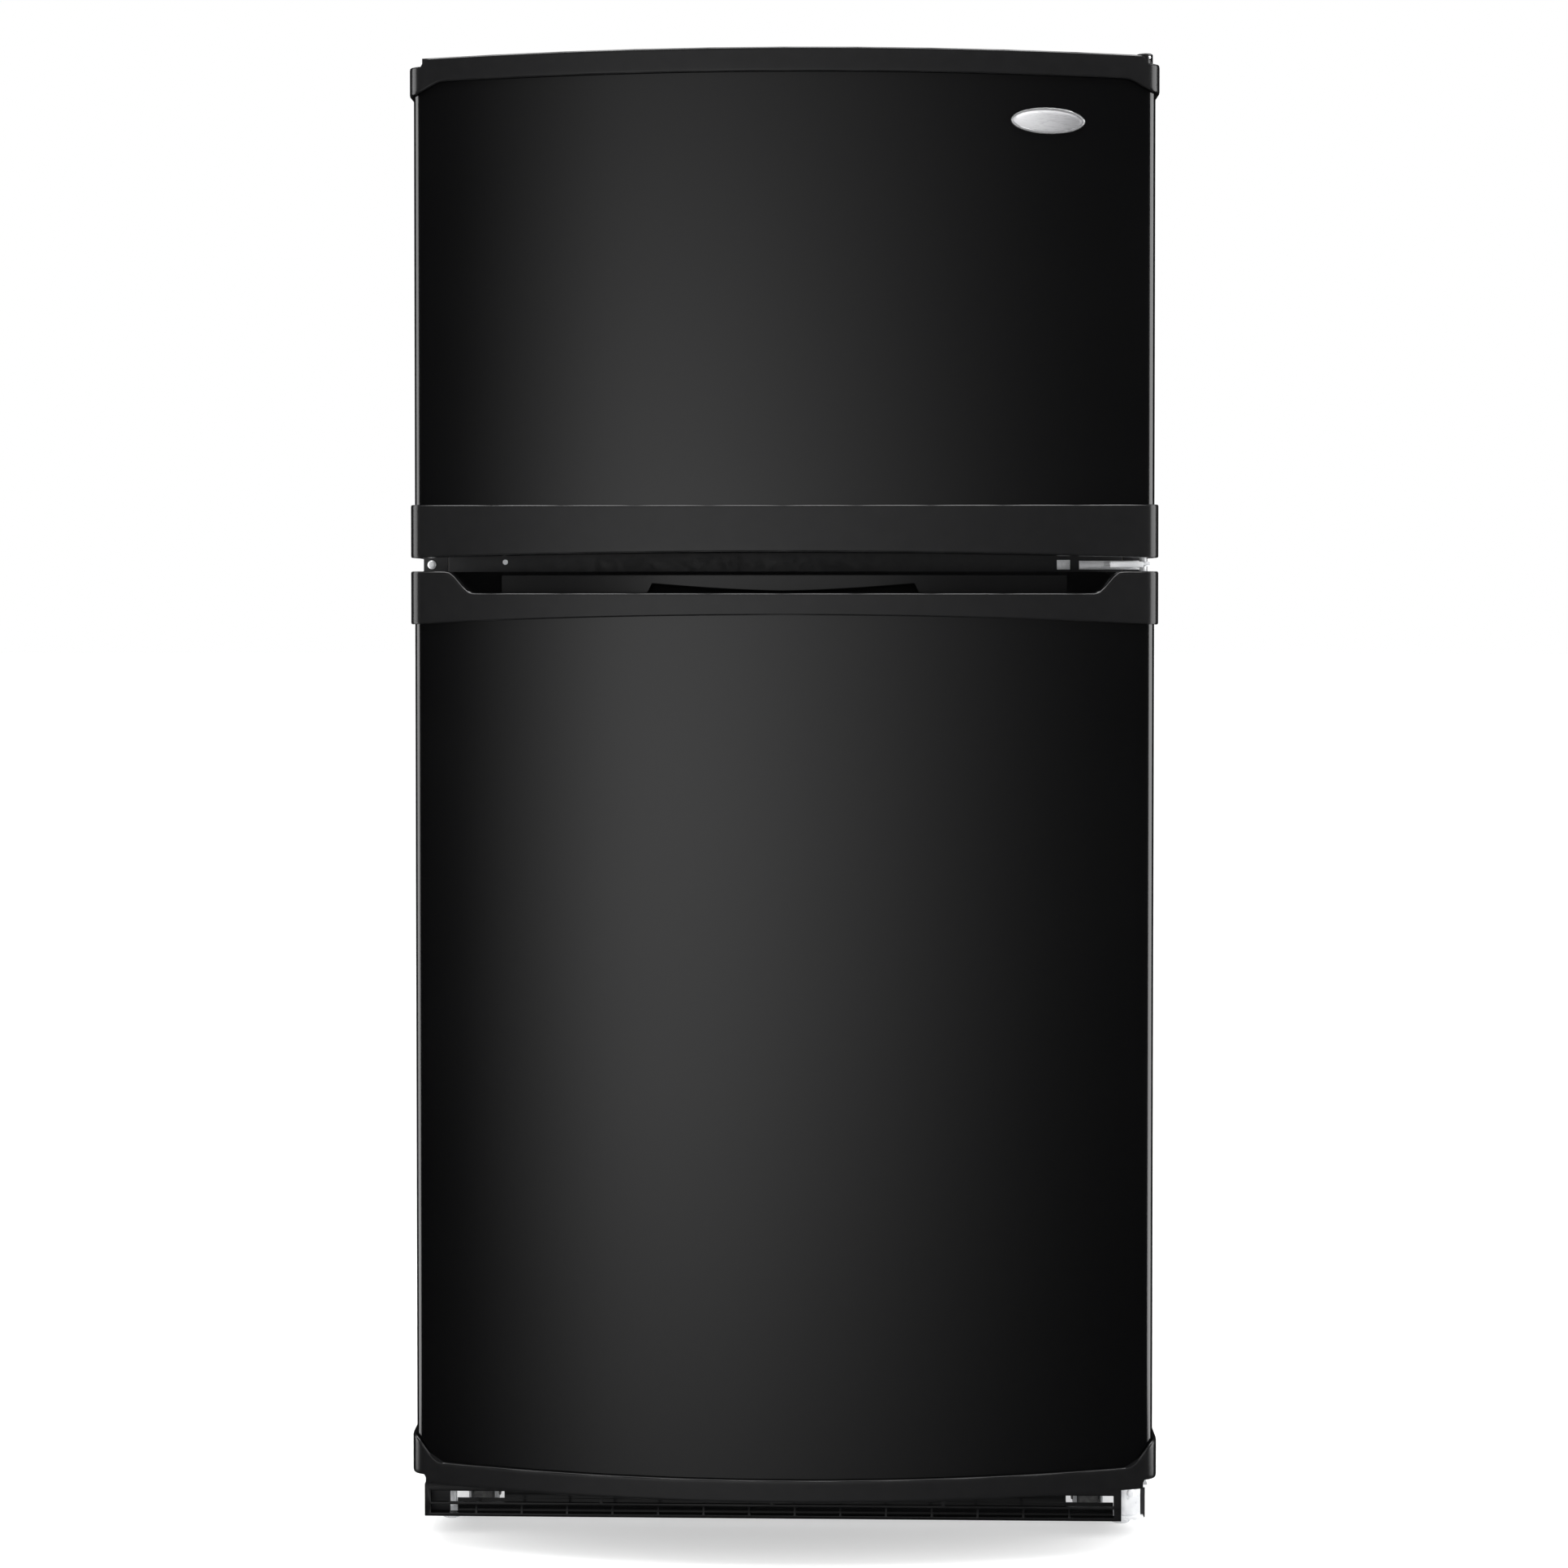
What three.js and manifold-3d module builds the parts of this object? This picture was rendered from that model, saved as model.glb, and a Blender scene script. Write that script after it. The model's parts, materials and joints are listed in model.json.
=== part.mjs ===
// Top freezer refrigerator: two bowed doors over a foam-filled steel cabinet.
// Millimetres, +Z up, +X to the right and -Y towards the user; z = 0 is the floor.
import * as THREE from "three";
import { mergeVertices } from "three/addons/utils/BufferGeometryUtils.js";
import Module from "manifold-3d";

const wasm = await Module();
wasm.setup();

// ---------- driving dimensions ----------
const cabinetWidth = 823;
const cabinetDepth = 711;
const cabinetTop = 1662; // above the floor
const cabinetFoot = 20; // lower edge of the side panels
const cabinetCorner = 10;
const sheet = 1.2; // steel sheet
const fit = 0.3; // gap between pieces that touch
const flangeWidth = 28; // the wrapper's return round the front

const gasketGap = 11; // cabinet front to the back of a closed door
const gasketWidth = 18;
const gasketInset = 13; // from the door's edge
const doorEdge = 45; // thickness of a door at its sides
const doorCrown = 45.5; // how far the middle bows out in front of the sides
const doorCorner = 10;
const splitHeight = 1106.5; // middle of the gap between the doors
const doorGap = 15;
const doorFoot = 81.5; // lower edge of the lower door
const doorOverTop = 3.7; // the upper door's top above the cabinet

const capProud = 3.5; // trims stand this far in front of the skins
const capSide = 4.5; // and this far outside them
const capWall = 3;
const shoulderInset = 12; // trims are cut down this near the cabinet's sides
const topShoulder = 8.7;
const footShoulder = 9.5;
const footCapHeight = 24.5;
const footCapFlare = 27;
const topCapHeight = 24.2;
const topCapFlare = 15.5;
const handleTrimHeight = 59;
const handleCapHeight = 48; // of the lower door's top trim, at its middle
const archDrop = 11; // its lower line falls this much towards the sides
const handleArch = 6; // the upper door's lower edge rises this much at its middle
const lipDrop = 24; // handle lip below the trim's top
const lipInset = 66.5; // the lip ends this far from the sides
const notchInset = 36.5; // and rises to the trim's top here
const lipWall = 9;
const tubDepth = capProud + sheet + 2 * fit; // the recess's moulding starts behind the skin
const recessReach = 38; // front of the lip to the recess's back wall
const recessDrop = 28; // depth of the finger recess below the lip

const hingeInset = 10.5; // hinge axis from the cabinet's side
const hingeReach = 35; // and in front of the cabinet
const pinRadius = 4;
const pinFit = 0.4;
const hingePlate = 3;

const freezerWall = 58;
const freshWall = 48;
const topWall = 58;
const backWall = 60;
const splitWall = 80;
const baseWall = 54; // deck to the fresh food floor
const linerWall = 2;
const railHeight = 72;
const machineDepth = 200;
const machineHeight = 192;
const humpWall = 48; // insulation between the machine space and the fresh food space
const deckHeight = 56;
const deckThick = 2;

const dykeClearance = 14; // door liner's raised rim inside the compartment
const dykeWidth = 30;
const dykeReach = 45; // past the cabinet's front
const binReach = 118; // from the door liner into the compartment
const binWall = 2.5;
const shelfSetback = 138; // shelf fronts behind the cabinet front
const shelfThick = 16;
const glassThick = 4;
const ledgeWidth = 8;

const rollerRadius = 18;
const rollerWidth = 24;
const rollerInset = 59.5;
const frontRollerLift = 1.5; // front rollers clear the floor once the feet are down
const axleRadius = 4;
const axleFit = 0.3;
const footRadius = 15;
const footInset = 23.5;

const badgeWidth = 82;
const badgeHeight = 28;
const badgeThick = 3.5;
const badgeInset = 122.5;
const badgeBelowTop = 75.7;

// ---------- places worked out from them ----------
const overallDepth = cabinetDepth + gasketGap + doorEdge + doorCrown + capProud;
const backY = overallDepth / 2;
const frontY = backY - cabinetDepth; // front plane of the cabinet
const doorBackY = frontY - gasketGap;
const shellBackY = doorBackY - linerWall - fit; // back of a door's skin and trims
const crownY = doorBackY - doorEdge - doorCrown; // foremost line of the skins
const half = cabinetWidth / 2;
const shoulderHalf = half - shoulderInset;
const lipHalf = half - lipInset;
const notchHalf = half - notchInset;
const hingeSide = half - hingeInset;
const rollerSide = half - rollerInset;
const footSide = half - footInset;
const badgeSide = half - badgeInset;
const panelHalf = half - sheet - fit;
const hingeY = frontY - hingeReach;
const lowerTop = splitHeight - doorGap / 2;
const upperFoot = splitHeight + doorGap / 2;
const upperTop = cabinetTop + doorOverTop;
const freezerHalf = half - freezerWall;
const freshHalf = half - freshWall;
const freezerFloor = splitHeight + splitWall / 2;
const freezerTop = cabinetTop - topWall;
const freshTop = splitHeight - splitWall / 2;
const deckTop = deckHeight + deckThick;
const freshFloor = deckTop + baseWall;
const innerBackY = backY - backWall;
const machineY = backY - machineDepth;
const machineTop = deckTop + machineHeight;
const humpY = machineY - humpWall;
const humpTop = machineTop + humpWall;
const panelBackY = backY - 3; // rear panels sit this side of the wrapper's edge
const shelfFrontY = frontY + shelfSetback;

// ---------- finishes ----------
const finishes = {
  blackSteel: { color: 0x121212, roughness: 0.32, metalness: 0.1 },
  blackPlastic: { color: 0x232323, roughness: 0.55, metalness: 0 },
  cabinetSteel: { color: 0x191919, roughness: 0.5, metalness: 0.1 },
  zinc: { color: 0xc9ccd0, roughness: 0.35, metalness: 0.9 },
  chrome: { color: 0xd8d8d8, roughness: 0.15, metalness: 1 },
  whitePlastic: { color: 0xeef0ef, roughness: 0.35, metalness: 0 },
  clearPlastic: { color: 0xdde6ea, roughness: 0.1, metalness: 0 },
  greyPlastic: { color: 0x9a9c9e, roughness: 0.5, metalness: 0 },
  gasketRubber: { color: 0x2a2a2a, roughness: 0.8, metalness: 0 },
  foam: { color: 0xe6d9a8, roughness: 0.95, metalness: 0 },
  aluminium: { color: 0xb8babd, roughness: 0.4, metalness: 0.8 },
};

const group = new THREE.Group();

// ---------- solids ----------
const grid = 1024; // corners snap to this part of a millimetre, so flush faces are exactly flush

function solidOf(geometry) {
  const plain = geometry.index ? geometry.toNonIndexed() : geometry.clone();
  plain.deleteAttribute("normal");
  plain.deleteAttribute("uv");
  const values = plain.attributes.position.array;
  for (let i = 0; i < values.length; i += 1) values[i] = Math.round(values[i] * grid) / grid;
  const merged = mergeVertices(plain, 1e-4);
  return new wasm.Manifold(new wasm.Mesh({
    numProp: 3,
    vertProperties: new Float32Array(merged.attributes.position.array),
    triVerts: new Uint32Array(merged.index.array),
  }));
}

function geometryOf(solid) {
  const mesh = solid.getMesh();
  const geometry = new THREE.BufferGeometry();
  geometry.setAttribute("position", new THREE.BufferAttribute(mesh.vertProperties, 3));
  geometry.setIndex(new THREE.BufferAttribute(mesh.triVerts, 1));
  return geometry;
}

function join(...solids) {
  return solids.reduce((whole, piece) => whole.add(piece));
}

function cut(solid, ...tools) {
  return tools.reduce((left, tool) => left.subtract(tool), solid);
}

function box([x0, x1], [y0, y1], [z0, z1]) {
  const geometry = new THREE.BoxGeometry(x1 - x0, y1 - y0, z1 - z0);
  geometry.translate((x0 + x1) / 2, (y0 + y1) / 2, (z0 + z1) / 2);
  return solidOf(geometry);
}

const span = (reach) => [-reach, reach];
const around = (middle, reach) => [middle - reach, middle + reach];

// Turns a shape drawn flat into place: local x, y and the extrusion take these directions.
const bases = {
  z: new THREE.Matrix4(),
  y: new THREE.Matrix4().makeBasis(
    new THREE.Vector3(1, 0, 0), new THREE.Vector3(0, 0, 1), new THREE.Vector3(0, -1, 0)),
  x: new THREE.Matrix4().makeBasis(
    new THREE.Vector3(0, 1, 0), new THREE.Vector3(0, 0, 1), new THREE.Vector3(1, 0, 0)),
};

// A shape in XY, XZ or YZ extruded along the remaining axis between two values.
function prism(shape, axis, [from, to], curveSegments = 10) {
  const geometry = new THREE.ExtrudeGeometry(shape, {
    depth: to - from, bevelEnabled: false, curveSegments,
  });
  geometry.applyMatrix4(bases[axis]);
  if (axis === "z") geometry.translate(0, 0, from);
  if (axis === "y") geometry.translate(0, to, 0);
  if (axis === "x") geometry.translate(from, 0, 0);
  return solidOf(geometry);
}

// A turned solid: profile points are [radius, along], seated at a point on an axis.
function turned(profile, axis, [x, y, z], segments = 20) {
  const points = profile.map(([radius, along]) => new THREE.Vector2(radius, along));
  const geometry = new THREE.LatheGeometry(points, segments);
  if (axis === "z") geometry.rotateX(Math.PI / 2);
  if (axis === "x") geometry.rotateZ(-Math.PI / 2);
  geometry.translate(x, y, z);
  return solidOf(geometry);
}

function rod(radius, axis, [from, to], middle, segments = 16) {
  const profile = [[0, from], [radius, from], [radius, to], [0, to]];
  return turned(profile, axis, middle, segments);
}

function polygon(points) {
  const shape = new THREE.Shape();
  shape.setFromPoints(points.map(([a, b]) => new THREE.Vector2(a, b)));
  return shape;
}

function addPart(name, solid, finish) {
  const mesh = new THREE.Mesh(geometryOf(solid), new THREE.MeshStandardMaterial(finishes[finish]));
  mesh.name = name;
  group.add(mesh);
}

// ---------- bowed doors ----------
// Plan outline of a door, grown outwards by a side and a front amount.
function doorPlan(side, front, rearY) {
  const edge = half + side;
  const corner = Math.max(doorCorner + side, 2);
  const inner = edge - corner;
  const middleY = crownY - front;
  const innerY = middleY + doorCrown * (inner / edge) ** 2;
  const slope = (2 * doorCrown * inner) / edge ** 2;
  const cornerY = innerY + slope * corner;
  const shape = new THREE.Shape();
  shape.moveTo(-edge, rearY);
  shape.lineTo(-edge, cornerY + corner);
  shape.quadraticCurveTo(-edge, cornerY, -inner, innerY);
  shape.quadraticCurveTo(0, 2 * middleY - innerY, inner, innerY);
  shape.quadraticCurveTo(edge, cornerY, edge, cornerY + corner);
  shape.lineTo(edge, rearY);
  return shape;
}

function doorSolid(inset, rearY, range) {
  return prism(doorPlan(-inset, -inset, rearY), "z", range);
}

function trimSolid(outline, range) {
  const body = prism(doorPlan(capSide, capProud, shellBackY), "z", range);
  return body.intersect(prism(outline, "y", [crownY - 2 * capProud, doorBackY]));
}

// Inside of a hollow trim, open where the door's insulation meets it.
function trimHollow(range) {
  return doorSolid(capWall, shellBackY - capWall, range);
}

// The curved band between two depths behind a trim's face, as far as a half width.
function faceBand(nearDepth, farDepth, reach, range) {
  const near = doorSolid(nearDepth - capProud, doorBackY + 1, range);
  const far = doorSolid(farDepth - capProud, doorBackY + 2, range);
  return cut(near, far).intersect(box(span(reach), [crownY - 9, shellBackY], range));
}

// Points of a right half, carried round to the left half.
function mirrored(points) {
  return [...points, ...points.slice().reverse().map(([x, z]) => [-x, z])];
}

// A shallow arch from side to side.
function archLine(halfWidth, sideZ, middleZ, steps) {
  return Array.from({ length: 2 * steps + 1 }, (_, i) => {
    const x = halfWidth * (i / steps - 1);
    return [x, middleZ + (sideZ - middleZ) * (x / halfWidth) ** 2];
  });
}

const outerHalf = half + capSide;
const pastEdge = outerHalf + 1;

function footCapOutline() {
  const line = doorFoot + footCapHeight;
  return polygon(mirrored([
    [shoulderHalf, doorFoot], [shoulderHalf, doorFoot + footShoulder],
    [pastEdge, doorFoot + footShoulder], [pastEdge, line + footCapFlare],
    [outerHalf - 4, line + footCapFlare], [outerHalf - 20, line + footCapFlare * 0.36],
    [outerHalf - 37, line],
  ]));
}

function topCapOutline() {
  const line = upperTop - topCapHeight;
  return polygon(mirrored([
    [shoulderHalf, upperTop], [shoulderHalf, upperTop - topShoulder],
    [pastEdge, upperTop - topShoulder], [pastEdge, line - topCapFlare],
    [outerHalf - 4, line - topCapFlare], [outerHalf - 22, line - topCapFlare * 0.35],
    [outerHalf - 40, line - 2],
  ]));
}

function handleTrimOutline() {
  const line = upperFoot + handleTrimHeight;
  const lower = archLine(pastEdge, upperFoot, upperFoot + handleArch, 5);
  return polygon([...lower, [pastEdge, line], [0, line - 2], [-pastEdge, line]]);
}

function handleCapOutline() {
  const line = lowerTop - handleCapHeight;
  const lower = archLine(pastEdge, line - archDrop, line, 5);
  return polygon([...lower, [pastEdge, lowerTop], [-pastEdge, lowerTop]]);
}

function skinSolid(range) {
  const inside = doorSolid(sheet, shellBackY - sheet, range);
  const backOpening = box(span(half - 18), [shellBackY - 2 * sheet, shellBackY + 1], range);
  return cut(doorSolid(0, shellBackY, range), inside, backOpening);
}

const pinHole = (range) => rod(pinRadius + pinFit, "z", range, [hingeSide, hingeY, 0]);

// A skin ends a fit away from the trims below and above it.
function doorSkin(lowerOutline, upperOutline, range) {
  const depths = [crownY - 2 * capProud, doorBackY + 1];
  return cut(skinSolid(range), prism(lowerOutline, "y", depths).translate([0, 0, fit]),
    prism(upperOutline, "y", depths).translate([0, 0, -fit]));
}

// Closed rim from two boxes, given as half width and height range, between two depths.
function ring(outer, inner, depths) {
  const body = box(span(outer.half), depths, outer.z);
  return cut(body, box(span(inner.half), [depths[0] - 1, depths[1] + 1], inner.z));
}

const shrink = ({ half: reach, z: [low, high] }, by) => ({
  half: reach - by, z: [low + by, high - by],
});

// A door's inner sheet with the raised rim that reaches into its compartment.
function doorLiner(plate, rim) {
  const sheetPart = box(span(plate.half), [doorBackY - linerWall, doorBackY], plate.z);
  const rimEndY = frontY + dykeReach;
  const rimOuter = ring(rim, shrink(rim, dykeWidth), [doorBackY - linerWall, rimEndY]);
  const rimHollow = ring(shrink(rim, linerWall), shrink(rim, dykeWidth - linerWall),
    [doorBackY - linerWall - 1, rimEndY - linerWall]);
  return cut(join(sheetPart, rimOuter), rimHollow);
}

function doorGasket(outer) {
  return ring(outer, shrink(outer, gasketWidth), [doorBackY + fit, frontY - fit]);
}

// An open-topped tray: outer ranges and a wall.
function tray(x, y, z, wall) {
  const inside = box([x[0] + wall, x[1] - wall], [y[0] + wall, y[1] - wall], [z[0] + wall, z[1] + 1]);
  return cut(box(x, y, z), inside);
}

const binHalf = freshHalf - dykeClearance - dykeWidth - 1.5;
const freezerBinHalf = freezerHalf - dykeClearance - dykeWidth - 1.5;
const binY = [doorBackY + fit, doorBackY + binReach];

function doorBin(reach, low, height) {
  return tray(span(reach), binY, [low, low + height], binWall);
}

// ---------- upper door ----------
const upperLine = upperTop - topCapHeight;
const upperPlate = { half: half - 6, z: [upperFoot + 8, upperTop - topShoulder - 6] };
const upperRim = {
  half: freezerHalf - dykeClearance,
  z: [freezerFloor + dykeClearance, freezerTop - dykeClearance],
};
const freezerBinLow = freezerFloor + 70;
const freezerBinHeight = 105;

function upperDoor() {
  const seat = [upperFoot - 1, upperTop + 1];
  addPart("freezer_door_skin", doorSkin(handleTrimOutline(), topCapOutline(),
    [upperFoot + 20, upperTop - 14]), "blackSteel");
  const recessTop = upperFoot + recessDrop + handleArch;
  const trim = cut(trimSolid(handleTrimOutline(), seat), trimHollow([upperFoot + 10, upperTop]));
  const sides = faceBand(tubDepth, recessReach + capWall, lipHalf + capWall,
    [upperFoot + 1, recessTop + capWall]).intersect(trimSolid(handleTrimOutline(), seat));
  const recess = faceBand(lipWall, recessReach, lipHalf, [upperFoot - 2, recessTop]);
  addPart("freezer_handle_trim", cut(join(trim, sides), recess,
    pinHole([upperFoot - 5, upperFoot + 30])), "blackPlastic");
  const top = cut(trimSolid(topCapOutline(), seat), trimHollow([upperFoot, upperTop - 12]),
    rod(hingeNose + 1, "z", [upperTop - topShoulder, upperTop + 1], [hingeSide, hingeY, 0], 24),
    pinHole([upperTop - 40, upperTop]));
  addPart("freezer_top_cap", top, "blackPlastic");
  addPart("freezer_door_foam", cut(doorSolid(capWall + 1, shellBackY - capWall - fit,
    [recessTop + capWall + 2, upperLine - 4]), pinHole([upperTop - 40, upperTop])), "foam");
  addPart("freezer_door_liner", doorLiner(upperPlate, upperRim), "whitePlastic");
  addPart("freezer_door_gasket", doorGasket({
    half: half - gasketInset, z: [upperFoot + gasketInset, cabinetTop - gasketInset],
  }), "gasketRubber");
  addPart("freezer_door_bin", doorBin(freezerBinHalf, freezerBinLow, freezerBinHeight),
    "clearPlastic");
}

function badge() {
  const ellipse = new THREE.Shape();
  ellipse.absellipse(0, 0, badgeWidth / 2, badgeHeight / 2, 0, 2 * Math.PI);
  const geometry = new THREE.ExtrudeGeometry(ellipse, {
    depth: badgeThick - 1, bevelThickness: 1, bevelSize: 1, bevelOffset: -1,
    bevelSegments: 1, curveSegments: 14,
  });
  geometry.applyMatrix4(bases.y);
  const slope = (2 * doorCrown * badgeSide) / half ** 2;
  geometry.rotateZ(Math.atan(slope));
  const surfaceY = crownY + doorCrown * (badgeSide / half) ** 2;
  geometry.translate(badgeSide, surfaceY - 1 - 2 * fit, upperTop - badgeBelowTop);
  addPart("badge", solidOf(geometry), "chrome");
}

// ---------- lower door ----------
const lowerPlate = { half: half - 6, z: [doorFoot + footShoulder + 6, lowerTop - 8] };
const lowerRim = {
  half: freshHalf - dykeClearance,
  z: [freshFloor + dykeClearance, freshTop - dykeClearance - 4],
};
const gallonBinLow = freshFloor + 48;
const gallonBinHeight = 125;
const middleBinHeight = 105;
const dairyBelowTop = 214.5; // the dairy box's floor under the compartment's top
const dairyLow = freshTop - dairyBelowTop;
const middleBinLow = (gallonBinLow + dairyLow) / 2 - 44;
const dairyHeight = 128;
const lidReach = 104;
const lidThick = 3;
const lidY = doorBackY + binReach + 1;
const lidAxis = dairyLow + dairyHeight + 5;

function handleNotch() {
  const top = lowerTop + 5;
  const lip = lowerTop - lipDrop;
  const shape = new THREE.Shape();
  shape.moveTo(-notchHalf, top);
  shape.lineTo(-notchHalf, lowerTop);
  shape.bezierCurveTo(-notchHalf + 15, lowerTop, -lipHalf - 12, lip, -lipHalf + 6, lip);
  shape.lineTo(lipHalf - 6, lip);
  shape.bezierCurveTo(lipHalf + 12, lip, notchHalf - 15, lowerTop, notchHalf, lowerTop);
  shape.lineTo(notchHalf, top);
  const front = prism(shape, "y", [crownY - 9, doorBackY], 5);
  return cut(front, doorSolid(recessReach - capProud, doorBackY + 1, [lip - 1, top + 1]));
}

function lowerDoor() {
  const seat = [doorFoot - 1, lowerTop];
  addPart("fridge_door_skin", doorSkin(footCapOutline(), handleCapOutline(),
    [doorFoot + 15, lowerTop - 20]), "blackSteel");
  const lip = lowerTop - lipDrop;
  const recessFloor = lip - recessDrop;
  const shell = cut(trimSolid(handleCapOutline(), seat), trimHollow([doorFoot, lowerTop - capWall]));
  const walls = faceBand(tubDepth, recessReach + capWall, notchHalf + capWall,
    [recessFloor - capWall, lowerTop]);
  const recess = faceBand(lipWall, recessReach, lipHalf, [recessFloor, lowerTop + 1]);
  addPart("fridge_handle_cap", cut(join(shell, walls), recess, handleNotch(),
    pinHole([lowerTop - 30, lowerTop + 1])), "blackPlastic");
  addPart("fridge_foot_cap", cut(trimSolid(footCapOutline(), seat),
    trimHollow([doorFoot + capWall + footShoulder, lowerTop]),
    pinHole([doorFoot - 1, doorFoot + 30])), "blackPlastic");
  addPart("fridge_door_foam", cut(doorSolid(capWall + 1, shellBackY - capWall - fit,
    [doorFoot + footShoulder + capWall + 1, recessFloor - capWall - 1]),
    pinHole([doorFoot, doorFoot + 30])), "foam");
  addPart("fridge_door_liner", doorLiner(lowerPlate, lowerRim), "whitePlastic");
  addPart("fridge_door_gasket", doorGasket({
    half: half - gasketInset, z: [doorFoot + gasketInset, lowerTop - gasketInset + 2],
  }), "gasketRubber");
  addPart("gallon_bin", doorBin(binHalf, gallonBinLow, gallonBinHeight), "clearPlastic");
  addPart("middle_bin", doorBin(binHalf, middleBinLow, middleBinHeight), "clearPlastic");
  dairy();
}

function dairy() {
  const body = cut(box(span(binHalf), binY, [dairyLow, dairyLow + dairyHeight]),
    box(span(binHalf - binWall), [binY[0] + binWall, binY[1] + 1],
      [dairyLow + binWall + 18, dairyLow + dairyHeight - binWall]),
    box(span(binHalf - binWall), [binY[0] + binWall, binY[1] - binWall],
      [dairyLow + binWall, dairyLow + binWall + 20]));
  addPart("dairy_box", body, "clearPlastic");
  const panel = box(span(binHalf), [lidY, lidY + lidThick], [lidAxis - lidReach, lidAxis - 3]);
  const barrel = rod(4, "x", span(binHalf), [0, lidY + lidThick - 1, lidAxis], 10);
  const pull = box(span(60), [lidY + lidThick - 1, lidY + 12], [lidAxis - lidReach, lidAxis - lidReach + 4]);
  addPart("dairy_lid", join(panel, barrel, pull), "clearPlastic");
}

// ---------- cabinet ----------
function roundedTop(reach, top, corner) {
  const shape = new THREE.Shape();
  shape.moveTo(-reach, cabinetFoot);
  shape.lineTo(-reach, top - corner);
  shape.absarc(-reach + corner, top - corner, corner, Math.PI, Math.PI / 2, true);
  shape.absarc(reach - corner, top - corner, corner, Math.PI / 2, 0, true);
  shape.lineTo(reach, cabinetFoot);
  return shape;
}

function outerWrapper() {
  const outer = prism(roundedTop(half, cabinetTop, cabinetCorner), "y", [frontY, backY], 5);
  const inner = prism(roundedTop(half - sheet, cabinetTop - sheet, cabinetCorner - sheet), "y",
    [frontY + sheet, backY + 1], 5);
  const below = box(span(half - sheet), [frontY + sheet, backY + 1], [cabinetFoot - 1, cabinetFoot + 1]);
  const mouth = box(span(half - flangeWidth), [frontY - 1, frontY + 9],
    [cabinetFoot - 1, cabinetTop - flangeWidth]);
  addPart("outer_wrapper", cut(outer, inner, below, mouth), "cabinetSteel");
}

// Side profile of the fresh food space, grown into its wall by an amount.
function freshProfile(grow) {
  return polygon([
    [frontY - 1, freshFloor - grow], [humpY + grow, freshFloor - grow],
    [humpY + grow, humpTop - grow], [innerBackY + grow, humpTop - grow],
    [innerBackY + grow, freshTop + grow], [frontY - 1, freshTop + grow],
  ]);
}

function freshSpace(grow) {
  return prism(freshProfile(grow), "x", span(freshHalf + grow));
}

function freezerSpace(grow) {
  return box(span(freezerHalf + grow), [frontY - 1, innerBackY + grow],
    [freezerFloor - grow, freezerTop + grow]);
}

const inFront = box(span(half * 2), [frontY - 9, frontY], [0, cabinetTop * 2]);

// Moulded ledges on both side walls that a shelf rests on.
function ledges(reach, top, rearY) {
  const depths = [shelfFrontY + 10, rearY];
  const under = [top - 6, top];
  return join(box([-reach - 1, -reach + ledgeWidth], depths, under),
    box([reach - ledgeWidth, reach + 1], depths, under));
}

const freezerShelfZ = freezerFloor + 215;
const crisperCoverZ = humpTop + 8;
const shelfPitch = (freshTop - crisperCoverZ - shelfThick) / 3;
const lowerShelfZ = crisperCoverZ + shelfPitch;
const upperShelfZ = lowerShelfZ + shelfPitch;

// Front face between a compartment and the steel round it.
function linerFlange(reach, z) {
  return box(span(reach), [frontY, frontY + linerWall], z);
}

const flangeReach = half - flangeWidth - fit;
const railLow = splitHeight - railHeight / 2;
const railHigh = splitHeight + railHeight / 2;

function freezerLiner() {
  const flange = linerFlange(flangeReach, [railHigh + fit, cabinetTop - flangeWidth - fit]);
  const shell = cut(join(freezerSpace(linerWall), flange), freezerSpace(0), inFront);
  addPart("freezer_liner", join(shell, ledges(freezerHalf, freezerShelfZ, coverY - fit)), "whitePlastic");
}

const switchX = -200;
const switchZ = freshTop - 7;
const switchRadius = 3;
const switchBossY = [frontY + 4, frontY + 42];

function freshFoodLiner() {
  const flange = linerFlange(flangeReach, [doorFoot + 3, railLow - fit]);
  const shell = cut(join(freshSpace(linerWall), flange), freshSpace(0), inFront);
  const tops = [crisperCoverZ, lowerShelfZ, upperShelfZ];
  const boss = box(around(switchX, 9), switchBossY, [freshTop - 14, freshTop + 1]);
  const bore = rod(switchRadius + 0.4, "y", [0, 99], [switchX, frontY, switchZ], 12);
  const shelfLedges = tops.map((z) => ledges(freshHalf, z, innerBackY));
  addPart("fresh_food_liner", cut(join(shell, boss, ...shelfLedges), bore), "whitePlastic");
}

// Everything that fits inside the wrapper, with its rounded upper corners.
function insideWrapper(depths) {
  return prism(roundedTop(panelHalf, cabinetTop - sheet - fit, cabinetCorner - sheet - fit), "y",
    depths, 5);
}

function backPanel() {
  const depths = [panelBackY - sheet, panelBackY];
  const rear = insideWrapper(depths).intersect(box(span(half), depths, [machineTop, cabinetTop]));
  const ceiling = box(span(panelHalf), [machineY, panelBackY], [machineTop, machineTop + sheet]);
  const wall = box(span(panelHalf), [machineY, machineY + sheet], [deckTop + fit, machineTop + sheet]);
  addPart("back_panel", join(rear, ceiling, wall), "cabinetSteel");
}

function cabinetFoam() {
  const depths = [frontY + linerWall + fit, panelBackY - sheet - fit];
  const block = insideWrapper(depths).intersect(box(span(half), depths, [deckTop + fit, cabinetTop]));
  const machine = box(span(half), [machineY - fit, backY], [0, machineTop + sheet + fit]);
  const rail = box(span(half), [frontY, frontY + railDepth + fit], [railLow - fit, railHigh + fit]);
  addPart("cabinet_foam", cut(block, machine, rail, freezerSpace(linerWall + fit),
    freshSpace(linerWall + fit)), "foam");
}

const railDepth = 14;

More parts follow.
